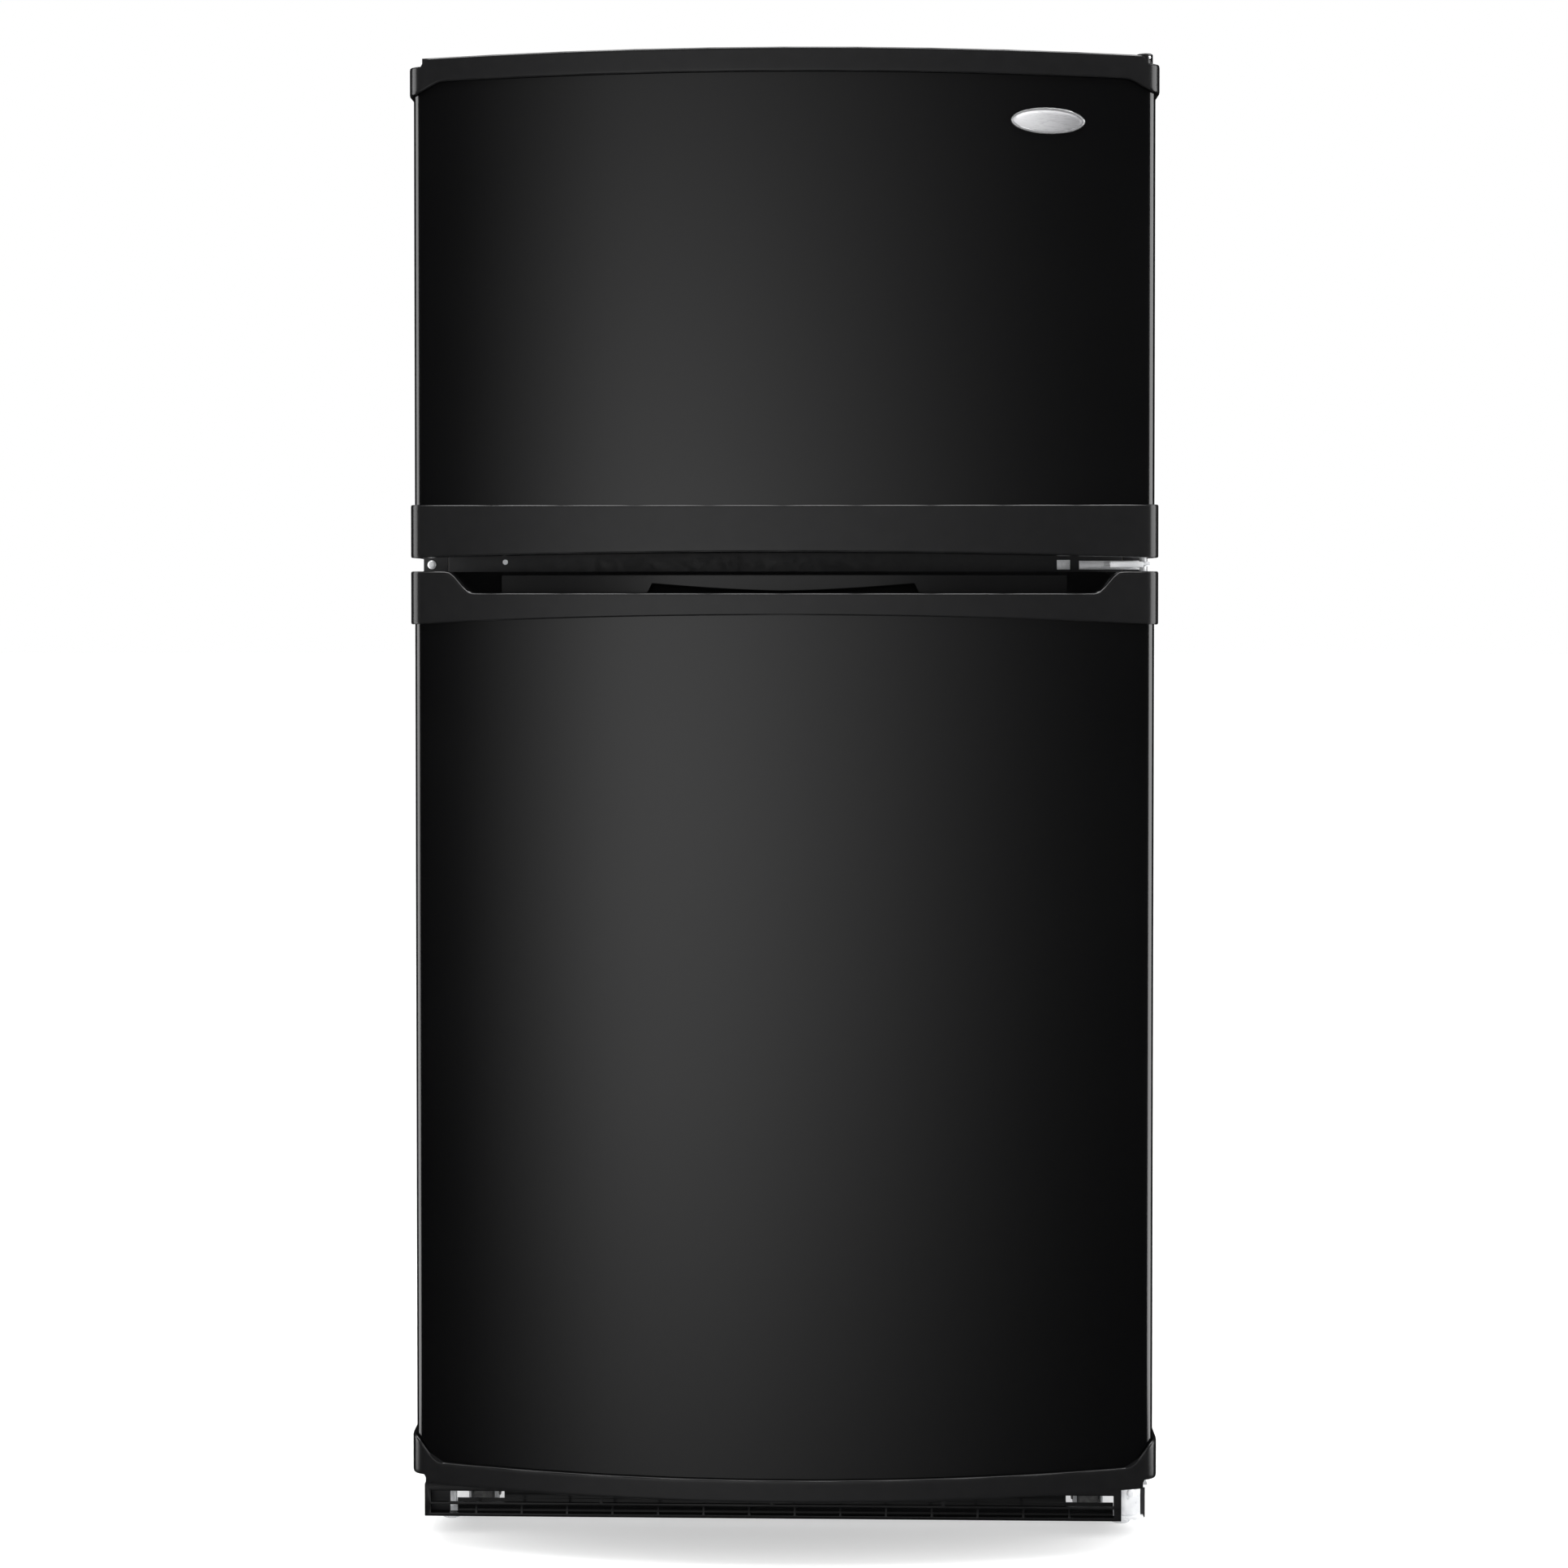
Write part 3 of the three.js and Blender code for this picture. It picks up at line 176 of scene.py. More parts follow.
clearPlastic = newFinish("clearPlastic", (0.34, 0.37, 0.38), 0.12)
varyRoughness(clearPlastic, noisePattern(clearPlastic, 45, 3.0), 0.08, 0.18)
edgeSheen(clearPlastic, 0.24, 0.80)

shelfGlass = newFinish("shelfGlass", (0.16, 0.27, 0.23), 0.04)
varyRoughness(shelfGlass, noisePattern(shelfGlass, 25, 3.0), 0.03, 0.07)
edgeSheen(shelfGlass, 0.22, 0.80)

lensPlastic = newFinish("lensPlastic", (0.90, 0.91, 0.90), 0.35, Emission_Color=(1, 0.93, 0.80, 1),
                        Emission_Strength=0.5)
addBump(lensPlastic, noisePattern(lensPlastic, 420, 1.0, (1, 0.05, 1)), 0.0006, 0.8)  # prismatic ribs

greyPlastic = newFinish("greyPlastic", (0.13, 0.135, 0.14), 0.5)
varyColour(greyPlastic, noisePattern(greyPlastic, 120, 3.0), (0.115, 0.12, 0.125), (0.145, 0.15, 0.155))
addBump(greyPlastic, noisePattern(greyPlastic, 1400, 2.0), 0.00005, 0.5)

wheelNylon = newFinish("wheelNylon", (0.12, 0.12, 0.12), 0.6)
varyColour(wheelNylon, noisePattern(wheelNylon, 200, 4.0), (0.09, 0.09, 0.09), (0.16, 0.16, 0.155))

sealRubber = newFinish("sealRubber", (0.022, 0.022, 0.023), 0.7)
varyColour(sealRubber, noisePattern(sealRubber, 60, 3.0), (0.018, 0.018, 0.019), (0.028, 0.028, 0.029))
addBump(sealRubber, noisePattern(sealRubber, 700, 2.0), 0.00006, 0.4)

blownFoam = newFinish("blownFoam", (0.45, 0.37, 0.20), 0.95)
varyColour(blownFoam, noisePattern(blownFoam, 140, 6.0), (0.38, 0.30, 0.14), (0.50, 0.43, 0.26))
addBump(blownFoam, noisePattern(blownFoam, 500, 5.0), 0.0008, 0.8)

finStock = newFinish("finStock", (0.66, 0.67, 0.69), 0.35, 1.0)
varyColour(finStock, noisePattern(finStock, 90, 4.0), (0.56, 0.57, 0.60), (0.72, 0.73, 0.75))
varyRoughness(finStock, noisePattern(finStock, 300, 3.0, (1, 1, 0.1)), 0.28, 0.46)

compressorEnamel = newFinish("compressorEnamel", (0.010, 0.010, 0.011), 0.3, Coat_Weight=0.4,
                             Coat_Roughness=0.15)
varyRoughness(compressorEnamel, noisePattern(compressorEnamel, 40, 5.0), 0.24, 0.42)
addBump(compressorEnamel, noisePattern(compressorEnamel, 130, 3.0), 0.0003, 0.4)

finishOfSlot = {
    "black_gloss_steel": doorEnamel, "black_trim_plastic": trimPlastic, "black_cabinet_steel": cabinetPaint,
    "zinc_plated_steel": zincPlate, "chrome": brightChrome, "white_plastic": linerWhite,
    "clear_plastic": clearPlastic, "glass_shelf": shelfGlass, "grey_plastic": greyPlastic,
    "gasket_rubber": sealRubber, "rigid_foam": blownFoam, "aluminium": finStock,
}
print("finishes made:", len(finishOfSlot), "slots")


# making pieces

def finishPiece(name, bm, body, finish, nodes=(), smoothAngle=38):
    mesh = bpy.data.meshes.new(name)
    bm.to_mesh(mesh)
    bm.free()
    mesh.materials.append(finish)
    mesh.polygons.foreach_set("use_smooth", [True] * len(mesh.polygons))
    mesh.set_sharp_from_angle(angle=math.radians(smoothAngle))
    piece = bpy.data.objects.new(name, mesh)
    bpy.context.scene.collection.objects.link(piece)
    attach(piece, body)
    if nodes:
        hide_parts(*nodes)
    return piece


def mergedCopy(node):
    bm = bmesh.new()
    bm.from_mesh(frame["nodes"][node].data)
    bmesh.ops.remove_doubles(bm, verts=bm.verts, dist=0.00001)
    bmesh.ops.dissolve_limit(bm, angle_limit=math.radians(0.5), verts=bm.verts, edges=bm.edges)
    return bm


def roundEdges(bm, width, segments=2, fromAngle=28, keepClear=True, edges=None):
    steepest = math.radians(fromAngle)
    chosen = [edge for edge in edges or bm.edges if edge.is_manifold and edge.calc_face_angle() > steepest]
    bmesh.ops.bevel(bm, geom=chosen, offset=width, offset_type="OFFSET", segments=segments, profile=0.5,
                    affect="EDGES", clamp_overlap=keepClear, material=-1)


def roundedPiece(node, width, segments, keepClear=True):
    bm = mergedCopy(node)
    if width:
        roundEdges(bm, width, segments, keepClear=keepClear)
    slotName = slotOfNode[node]
    finish = finishOfNode.get(node, finishOfSlot[slotName])
    finishPiece(node + "_fine", bm, bodyOfNode[node], finish, [node])


def blockOf(bm, low, high):
    made = bmesh.ops.create_cube(bm, size=1)["verts"]
    bmesh.ops.scale(bm, vec=Vector(high) - Vector(low), verts=made)
    bmesh.ops.translate(bm, vec=(Vector(low) + Vector(high)) / 2, verts=made)


def ringedDisc(bm, width, height, steps, rings):  # an oval grown ring by ring: each goes in, then rises
    before = set(bm.verts)
    made = bmesh.ops.create_circle(bm, cap_ends=True, segments=steps, radius=0.5)["verts"]
    bmesh.ops.scale(bm, vec=(width, height, 1), verts=made)
    top = list({face for vert in made for face in vert.link_faces})
    inset = 0.0
    for index, (step, rise) in enumerate(rings):
        risen = bmesh.ops.extrude_face_region(bm, geom=top)["geom"]
        if index:
            bmesh.ops.delete(bm, geom=top, context="FACES_ONLY")
        top = [part for part in risen if isinstance(part, bmesh.types.BMFace)]
        verts = [part for part in risen if isinstance(part, bmesh.types.BMVert)]
        wide, tall = width - 2 * inset, height - 2 * inset
        bmesh.ops.scale(bm, vec=((wide - 2 * step) / wide, (tall - 2 * step) / tall, 1), verts=verts)
        bmesh.ops.translate(bm, vec=(0, 0, rise), verts=verts)
        inset += step
    return [vert for vert in bm.verts if vert not in before]


towardsUser = Matrix.Rotation(math.radians(90), 3, "X")  # what rose along +Z now rises along -Y


def addDisc(bm, disc, place, turn=None):
    verts = ringedDisc(bm, disc["width"], disc["width"], disc["steps"], disc["rings"])
    if turn is not None:
        bmesh.ops.rotate(bm, cent=(0, 0, 0), matrix=turn, verts=verts)
    bmesh.ops.translate(bm, vec=place, verts=verts)


# the bowed doors: one grid per sheet or trim, laid round the door's plan

doorShape = {
    "half": 0.4115, "crown": 0.0455, "crownY": -0.4045, "rearY": -0.3163, "corner": 0.010,
    "rearStep": 0.0015, "rearTuck": 0.0006, "trimSide": 0.0045, "trimFront": 0.0035,
    "frontSteps": 150, "cornerSteps": 8,
}


def doorStations(side, front, returnFlange=0.0):  # points round the plan, left rear to right rear
    shape = doorShape
    edge = shape["half"] + side
    corner = shape["corner"] + side
    inner = edge - corner
    middleY = shape["crownY"] - front
    innerY = middleY + shape["crown"] * (inner / edge) ** 2
    cornerY = innerY + 2 * shape["crown"] * inner / edge ** 2 * corner
    right = []
    for i in range(1, shape["cornerSteps"] + 1):
        t = i / shape["cornerSteps"]
        right.append(((1 - t) ** 2 * inner + 2 * t * (1 - t) * edge + t * t * edge,
                      (1 - t) ** 2 * innerY + 2 * t * (1 - t) * cornerY + t * t * (cornerY + corner)))
    right += [(edge, (cornerY + corner + shape["rearY"]) / 2), (edge, shape["rearY"] - shape["rearStep"]),
              (edge - shape["rearTuck"], shape["rearY"])]
    if returnFlange:
        right.append((edge - returnFlange, shape["rearY"]))
    steps = shape["frontSteps"]
    acrossFront = [inner * (2 * i / steps - 1) for i in range(steps + 1)]
    middle = [(x, middleY + shape["crown"] * (x / edge) ** 2) for x in acrossFront]
    return [(-x, y) for x, y in reversed(right)] + middle + right


def outwardAt(stations, i):
    before = stations[max(i - 1, 0)]
    after = stations[min(i + 1, len(stations) - 1)]
    run = Vector((after[0] - before[0], after[1] - before[1], 0)).normalized()
    return Vector((run.y, -run.x, 0))


def bowedBand(name, stations, lowerLine, upperLine, body, finish, nodes, rows=24, roll=0.0,
              lowerReach=0.0, upperReach=0.0, wall=0.0009):
    angles = [math.radians(15 * k) for k in range(7)] if roll else []
    rolled = [(roll * (1 - math.cos(a)), roll * (1 - math.sin(a))) for a in angles]  # from the rim to the face
    low = ([(0.0, lowerReach)] if lowerReach else []) + rolled
    high = ([(0.0, upperReach)] if upperReach else []) + rolled
    across = len(low) + rows + len(high)
    bm = bmesh.new()
    bmesh.ops.create_grid(bm, x_segments=len(stations) - 1, y_segments=across - 1, size=1)
    bm.verts.ensure_lookup_table()
    ordered = sorted(bm.verts, key=lambda vert: (round(vert.co.y, 5), vert.co.x))
    for index, vert in enumerate(ordered):
        row, column = divmod(index, len(stations))
        x, y = stations[column]
        zLow, zHigh = lowerLine(x), upperLine(x)
        depth = 0.0
        if row < len(low):
            rise, depth = low[row]
            z = zLow + rise
        elif row >= len(low) + rows:
            rise, depth = high[across - 1 - row]
            z = zHigh - rise
        else:
            share = (row - len(low) + 1) / (rows + 1) if roll else row / (rows - 1)
            z = zLow + roll + (zHigh - zLow - 2 * roll) * share
        vert.co = Vector((x, y, z)) - outwardAt(stations, column) * depth
    bmesh.ops.recalc_face_normals(bm, faces=bm.faces)
    ahead = Vector((0, -1, (lowerLine(0) + upperLine(0)) / 2))
    nearest = min(bm.faces, key=lambda face: (face.calc_center_median() - ahead).length)
    if nearest.normal.y > 0:
        bmesh.ops.reverse_faces(bm, faces=bm.faces)
    bmesh.ops.solidify(bm, geom=bm.faces[:], thickness=wall)
    bmesh.ops.recalc_face_normals(bm, faces=bm.faces)
    finishPiece(name, bm, body, finish, nodes, 50)


def easeUp(x, start, end):  # 0 before start, 1 after end, smooth between
    t = min(max((x - start) / (end - start), 0.0), 1.0)
    return t * t * (3 - 2 * t)


def trimCore(node, inset):  # the trim's own body, drawn in a little under its finely made face
    bm = mergedCopy(node)
    bm.normal_update()
    for vert in bm.verts:
        vert.co += vert.normal * -inset
    finishPiece(node + "_core", bm, bodyOfNode[node], trimPlastic, [node])


# door sheets: flat edges, with a flange turned in along the sides
doorSheets = {
    "flange": 0.018, "wall": 0.0011,
    "freezer_door": {"low": 1.164, "high": 1.650, "rows": 40},
    "fridge_door": {"low": 0.101, "high": 1.058, "rows": 60},
}
sheetStations = doorStations(0.0, 0.0, doorSheets["flange"])
for door in ("freezer_door", "fridge_door"):
    sheet = doorSheets[door]
    bowedBand(door + "_sheet", sheetStations, lambda x: sheet["low"], lambda x: sheet["high"], door, doorEnamel,
              [door + "_skin"], rows=sheet["rows"], wall=doorSheets["wall"])
print("door sheets made")


# trims: a lower and an upper edge line each, as heights over x
trimEdges = {
    "roll": 0.0022, "coreInset": 0.0005, "outerHalf": 0.416, "shoulder": 0.3995, "shoulderHalf": 0.0016,
    "topCap": {"low": 1.6395, "cornerDrop": 0.0135, "corner": (0.042, 0.003),
               "high": 1.6657, "notch": 0.0087},
    "handleTrim": {"low": 1.114, "lowBow": 0.006, "high": 1.171, "highBow": 0.002},
    "handleCap": {"low": 1.051, "lowBow": 0.011,
                  "high": 1.075, "ears": 0.024, "earFrom": 0.343, "earTo": 0.373},
    "footCap": {"low": 0.0815, "notch": 0.0095, "high": 0.106, "cornerRise": 0.027, "corner": (0.040, 0.002),
                "power": 1.5},
}


def bowAt(x):  # 0 in the middle, 1 at the outer sides
    return (x / trimEdges["outerHalf"]) ** 2


def cornerAt(x, corner):  # 0 over the front, 1 at the side: both distances are from the outer side
    return easeUp(abs(x), trimEdges["outerHalf"] - corner[0], trimEdges["outerHalf"] - corner[1])


def shoulderAt(x):  # a short step near each side
    shoulder, half = trimEdges["shoulder"], trimEdges["shoulderHalf"]
    return easeUp(abs(x), shoulder - half, shoulder + half)


def topCapLower(x):
    cap = trimEdges["topCap"]
    return cap["low"] - cap["cornerDrop"] * cornerAt(x, cap["corner"])


def topCapUpper(x):
    cap = trimEdges["topCap"]
    return cap["high"] - cap["notch"] * shoulderAt(x)


def handleTrimLower(x):
    trim = trimEdges["handleTrim"]
    return trim["low"] + trim["lowBow"] * (1 - bowAt(x))


def handleTrimUpper(x):
    trim = trimEdges["handleTrim"]
    return trim["high"] + trim["highBow"] * bowAt(x)


def handleCapLower(x):
    cap = trimEdges["handleCap"]
    return cap["low"] - cap["lowBow"] * bowAt(x)


def handleCapUpper(x):  # the lip dips between two ears
    cap = trimEdges["handleCap"]
    return cap["high"] + cap["ears"] * easeUp(abs(x), cap["earFrom"], cap["earTo"])


def footCapLower(x):
    cap = trimEdges["footCap"]
    return cap["low"] + cap["notch"] * shoulderAt(x)


def footCapUpper(x):
    cap = trimEdges["footCap"]
    return cap["high"] + cap["cornerRise"] * cornerAt(x, cap["corner"]) ** cap["power"]


trimStations = doorStations(doorShape["trimSide"], doorShape["trimFront"])
trimFaces = [  # node, body, edge lines, rows, how far the lower and the upper edge turn in
    ("freezer_top_cap", "freezer_door", topCapLower, topCapUpper, 10, 0.0, 0.0062),
    ("freezer_handle_trim", "freezer_door", handleTrimLower, handleTrimUpper, 14, 0.0085, 0.0),
    ("fridge_handle_cap", "fridge_door", handleCapLower, handleCapUpper, 12, 0.0, 0.0085),
    ("fridge_foot_cap", "fridge_door", footCapLower, footCapUpper, 10, 0.0062, 0.0),
]
for node, body, lower, upper, rows, lowerReach, upperReach in trimFaces:
    bowedBand(node + "_face", trimStations, lower, upper, body, trimPlastic, [node], rows,
              trimEdges["roll"], lowerReach, upperReach)
    trimCore(node, trimEdges["coreInset"])
print("trims made")


# handle recess: a swell on the back wall of the lower door's recess, cut away above the lip
scoop = {
    "half": 0.316, "low": 1.0655, "high": 1.0955, "backDepth": 0.041, "rise": 0.014, "flat": 0.3, "steps": 96,
    "gapHalf": 0.155, "gapSlope": 0.010, "gapLow": 1.0768, "gapHigh": 1.0862, "gapPower": 1.5,
    "rows": 10, "roll": 0.0012, "reach": 0.006, "wall": 0.0008,
}


def scoopStations():
    shape = doorShape
    edge = shape["half"] + shape["trimSide"]
    half, steps = scoop["half"], scoop["steps"]
    xs = [half * (2 * i / steps - 1) for i in range(steps + 1)]
    return [(x, shape["crownY"] - shape["trimFront"] + shape["crown"] * (x / edge) ** 2 + scoop["backDepth"]
             - scoop["rise"] * (1 - easeUp(abs(x), half * scoop["flat"], half))) for x in xs]


def scoopLower(x):  # the gap tapers away towards the middle and drops off at its ends
    half = scoop["gapHalf"]
    outwards = min(abs(x) / half, 1) ** scoop["gapPower"]
    tapered = scoop["gapLow"] + (scoop["gapHigh"] - scoop["gapLow"]) * outwards
    return tapered - (tapered - scoop["low"]) * easeUp(abs(x), half - scoop["gapSlope"], half)


bowedBand("fridge_handle_scoop", scoopStations(), scoopLower, lambda x: scoop["high"], "fridge_door",
          trimPlastic, [], rows=scoop["rows"], roll=scoop["roll"],
          upperReach=scoop["reach"], wall=scoop["wall"])
print("handle recess made")


# badge: plain oval, chrome rim round a brushed face whose colour carries a painted reflection, light to dark
# across it
badge = {
    "width": 0.082, "height": 0.028, "x": 0.289, "z": 1.590, "sunk": 0.0006, "rim": 0.0024, "steps": 96,
    "rings": [(0.0, 0.0020), (0.0003, 0.0005), (0.0006, 0.0002), (0.0007, 0.0), (0.0006, -0.0002),
              (0.0004, -0.0007), (0.0018, 0.0006), (0.0024, 0.0005), (0.0030, 0.0002), (0.0030, 0.0001)],
}  # each ring: how far in, how far forwards


def makeBadge():
    bm = bmesh.new()
    ringedDisc(bm, badge["width"], badge["height"], badge["steps"], badge["rings"])
    bmesh.ops.recalc_face_normals(bm, faces=bm.faces)
    bmesh.ops.rotate(bm, cent=(0, 0, 0), matrix=towardsUser, verts=bm.verts)
    turn = math.atan(2 * doorShape["crown"] * badge["x"] / doorShape["half"] ** 2)  # the door's slope there
    surfaceY = doorShape["crownY"] + doorShape["crown"] * (badge["x"] / doorShape["half"]) ** 2
    bmesh.ops.rotate(bm, cent=(0, 0, 0), matrix=Matrix.Rotation(turn, 3, "Z"), verts=bm.verts)
    bmesh.ops.translate(bm, vec=(badge["x"], surfaceY - badge["sunk"], badge["z"]), verts=bm.verts)
    bm.normal_update()
    piece = finishPiece("badge_oval", bm, "freezer_door", brightChrome, ["badge"], 30)
    piece.data.materials.append(brushedMetalPaintedReflection)
    normal = Vector((math.sin(turn), -math.cos(turn), 0))
    run = Vector((-normal.y, normal.x, 0))
    centre = Vector((badge["x"], surfaceY, badge["z"]))
    for polygon in piece.data.polygons:  # what lies inside the rim and faces forwards is brushed
        offset = polygon.center - centre
        across = offset.dot(run) / (badge["width"] / 2 - badge["rim"])
        up = offset.z / (badge["height"] / 2 - badge["rim"])
        if across ** 2 + up ** 2 < 1 and polygon.normal.dot(normal) > 0.6:
            polygon.material_index = 1


makeBadge()
print("badge made")


# fittings on the cabinet's front: screw, stud and clip, and the middle and bottom hinges' small parts
domeRings = [(0.0, 0.0006), (0.0003, 0.0005), (0.0006, 0.0005), (0.0009, 0.0004), (0.0010, 0.0002),
             (0.0010, 0.0001)]
hexRings = [(0.0, 0.0024), (0.0004, 0.0003), (0.0006, 0.0)]
washerRings = [(0.0, 0.0009), (0.0002, 0.0002), (0.0004, 0.0)]
flangeFittings = {
    "screw": {"width": 0.010, "steps": 28, "rings": domeRings}, "screwPlace": (-0.402, -0.3030, 1.1070),
    "stud": {"width": 0.006, "steps": 20, "rings": washerRings}, "studPlace": (-0.318, -0.3030, 1.1100),
    "clipLow": (0.3090, -0.3046, 1.1015), "clipHigh": (0.3240, -0.3031, 1.1125), "clipEdge": 0.0004,
    "clipScrew": {"width": 0.0052, "steps": 24, "rings": washerRings},
}
hingeFittings = {
    "lipLow": (0.3625, -0.3520, 1.1035), "lipHigh": (0.3990, -0.3505, 1.1100), "lipEdge": 0.0005,
    "washer": {"width": 0.013, "steps": 32, "rings": washerRings},
    "washerOver": (0.401, -0.338, 1.1091), "washerUnder": (0.401, -0.338, 1.1059),
    "hexScrew": {"width": 0.008, "steps": 6, "rings": hexRings}, "hexPlace": (0.3865, -0.3440, 1.1059),
    "rivet": {"width": 0.0095, "steps": 28, "rings": domeRings}, "rivetPlace": (0.3950, -0.3063, 0.0495),
}


def makeFlangeFittings():
    parts = flangeFittings
    clipLow, clipHigh = parts["clipLow"], parts["clipHigh"]
    middle = (Vector(clipLow) + Vector(clipHigh)) / 2
    bm = bmesh.new()
    addDisc(bm, parts["screw"], parts["screwPlace"], towardsUser)
    addDisc(bm, parts["stud"], parts["studPlace"], towardsUser)
    blockOf(bm, clipLow, clipHigh)
    clipEdges = [edge for edge in bm.edges if edge.verts[0].co.x > 0]
    roundEdges(bm, parts["clipEdge"], 2, 60, edges=clipEdges)
    addDisc(bm, parts["clipScrew"], (middle.x, clipLow[1], middle.z), towardsUser)
    bmesh.ops.recalc_face_normals(bm, faces=bm.faces)
    finishPiece("flange_fittings", bm, "cabinet", zincPlate)


def makeHingeFittings():
    parts = hingeFittings
    down = Matrix.Rotation(math.radians(180), 3, "X")
    bm = bmesh.new()
    blockOf(bm, parts["lipLow"], parts["lipHigh"])
    roundEdges(bm, parts["lipEdge"], 2, 60)
    addDisc(bm, parts["washer"], parts["washerOver"])
    addDisc(bm, parts["washer"], parts["washerUnder"], down)
    addDisc(bm, parts["hexScrew"], parts["hexPlace"], down)
    addDisc(bm, parts["rivet"], parts["rivetPlace"], towardsUser)
    bmesh.ops.recalc_face_normals(bm, faces=bm.faces)
    finishPiece("hinge_fittings", bm, "cabinet", zincPlate)


# black sheet behind the base grille, painted shade standing in for the dark cavity there: full width below,
# clear of the roller brackets above
paintedShadeSheet = {
    "half": 0.322, "reach": 0.376, "y": -0.2985, "low": 0.0130, "step": 0.0345, "high": 0.0495,
    "thick": 0.0012, "fold": 0.010, "edge": 0.0003, "ribs": 13, "ribHalf": 0.0008, "ribDepth": 0.006,
}


def makePaintedShadeSheet():
    half, reach, y, low, high = (paintedShadeSheet[key] for key in ("half", "reach", "y", "low", "high"))
    back = y + paintedShadeSheet["thick"]
    foldTop = low + paintedShadeSheet["thick"]
    bm = bmesh.new()
    blockOf(bm, (-reach, y, low), (reach, back, paintedShadeSheet["step"]))
    blockOf(bm, (-half, y, paintedShadeSheet["step"]), (half, back, high))
    blockOf(bm, (-reach, back, low), (reach, back + paintedShadeSheet["fold"], foldTop))
    for i in range(paintedShadeSheet["ribs"]):
        x = half * (2 * (i + 0.5) / paintedShadeSheet["ribs"] - 1)
        blockOf(bm, (x - paintedShadeSheet["ribHalf"], back, foldTop),
                (x + paintedShadeSheet["ribHalf"], back + paintedShadeSheet["ribDepth"], high))
    roundEdges(bm, paintedShadeSheet["edge"], 1, 60)
    bmesh.ops.recalc_face_normals(bm, faces=bm.faces)
    # painted shade: a black sheet where the space behind the grille is only in shade
    finishPiece("toe_painted_shade_sheet", bm, "cabinet", trimPlastic)


# sill: the cabinet's front edge under the lower compartment, with a swage along it
sill = {
    "half": 0.3830, "front": -0.3029, "back": -0.3010, "low": 0.0586, "high": 0.0842,
    "swageIn": 0.006, "swageSlope": 0.001, "swageRise": 0.0006, "edge": 0.0003,
}


def makeSill():
    half = sill["half"]
    bm = bmesh.new()
    blockOf(bm, (-half, sill["front"] + sill["swageRise"], sill["low"]), (half, sill["back"], sill["high"]))
    front = [face for face in bm.faces if face.normal.y < -0.9]
    bmesh.ops.inset_region(bm, faces=front, thickness=sill["swageIn"], depth=0.0)
    bmesh.ops.inset_region(bm, faces=front, thickness=sill["swageSlope"], depth=sill["swageRise"])
    roundEdges(bm, sill["edge"], 2, 40)
    finishPiece("cabinet_sill", bm, "cabinet", cabinetPaint)


makeFlangeFittings()
makeHingeFittings()
makePaintedShadeSheet()
makeSill()
print("fittings made")


# everything else keeps its CAD shape, with its edges rounded: width and segments of the rounding
edgeWidths = {
    "outer_wrapper": (0.0010, 3), "back_panel": (0.0005, 2), "cabinet_foam": (0.003, 2),
    "mullion_rail": (0.0006, 2), "base_grille": (0.0007, 2), "base_deck": (0.0004, 2),
    "freezer_liner": (0.0016, 3), "fresh_food_liner": (0.0016, 3),
    "freezer_door_liner": (0.0018, 3), "fridge_door_liner": (0.0018, 3),
    "freezer_door_gasket": (0.0030, 3), "fridge_door_gasket": (0.0030, 3),
    "freezer_door_foam": (0.001, 1), "fridge_door_foam": (0.001, 1),
    "freezer_door_bin": (0.0012, 3), "gallon_bin": (0.0012, 3), "middle_bin": (0.0012, 3),
    "dairy_box": (0.0010, 2), "dairy_lid": (0.0008, 2),
    "crisper_left": (0.0012, 2), "crisper_right": (0.0012, 2),
    "shelf_upper": (0.0012, 2), "shelf_lower": (0.0012, 2), "crisper_cover": (0.0012, 2),
    "freezer_shelf": (0.0007, 1), "evaporator_cover": (0.0010, 2),
    "control_housing": (0.0012, 3), "light_lens": (0.0009, 2),
    "light_switch": (0.0006, 2), "fresh_food_dial": (0.0008, 2), "freezer_dial": (0.0008, 2),
    "humidity_slide_left": (0.0005, 2), "humidity_slide_right": (0.0005, 2),
    "top_hinge": (0.0006, 2), "center_hinge": (0.0005, 2), "bottom_hinge": (0.0006, 2),
    "machine_cover": (0.0003, 1), "cord_gland": (0.0006, 2),
    "compressor": (0.0009, 2), "condenser_coil": (0, 0),
    "condenser_fan_blade": (0.0006, 2), "condenser_fan_motor": (0.0010, 2), "drain_pan": (0.0007, 2),
    "evaporator": (0, 0), "evaporator_fan_blade": (0.0005, 2), "evaporator_fan_motor": (0.0008, 2),
    "front_roller_left": (0.0007, 2), "front_roller_right": (0.0007, 2),
    "rear_roller_left": (0.0007, 2), "rear_roller_right": (0.0007, 2),
    "leveling_foot_left": (0.0006, 2), "leveling_foot_right": (0.0006, 2),
}
finishOfNode = {  # where a part's finish isn't its slot's usual one
    "mullion_rail": cabinetPaint, "freezer_shelf": mouldedWhite, "control_housing": mouldedWhite,
    "light_switch": mouldedWhite, "light_lens": lensPlastic, "compressor": compressorEnamel,
    "condenser_coil": compressorEnamel, "front_roller_left": wheelNylon, "front_roller_right": wheelNylon,
    "rear_roller_left": wheelNylon, "rear_roller_right": wheelNylon,
}
for node, (width, segments) in edgeWidths.items():
    roundedPiece(node, width, segments)
roundedPiece("top_hinge_cover", 0.0012, 2, keepClear=False)
print("rounded pieces made:", len(edgeWidths) + 1)


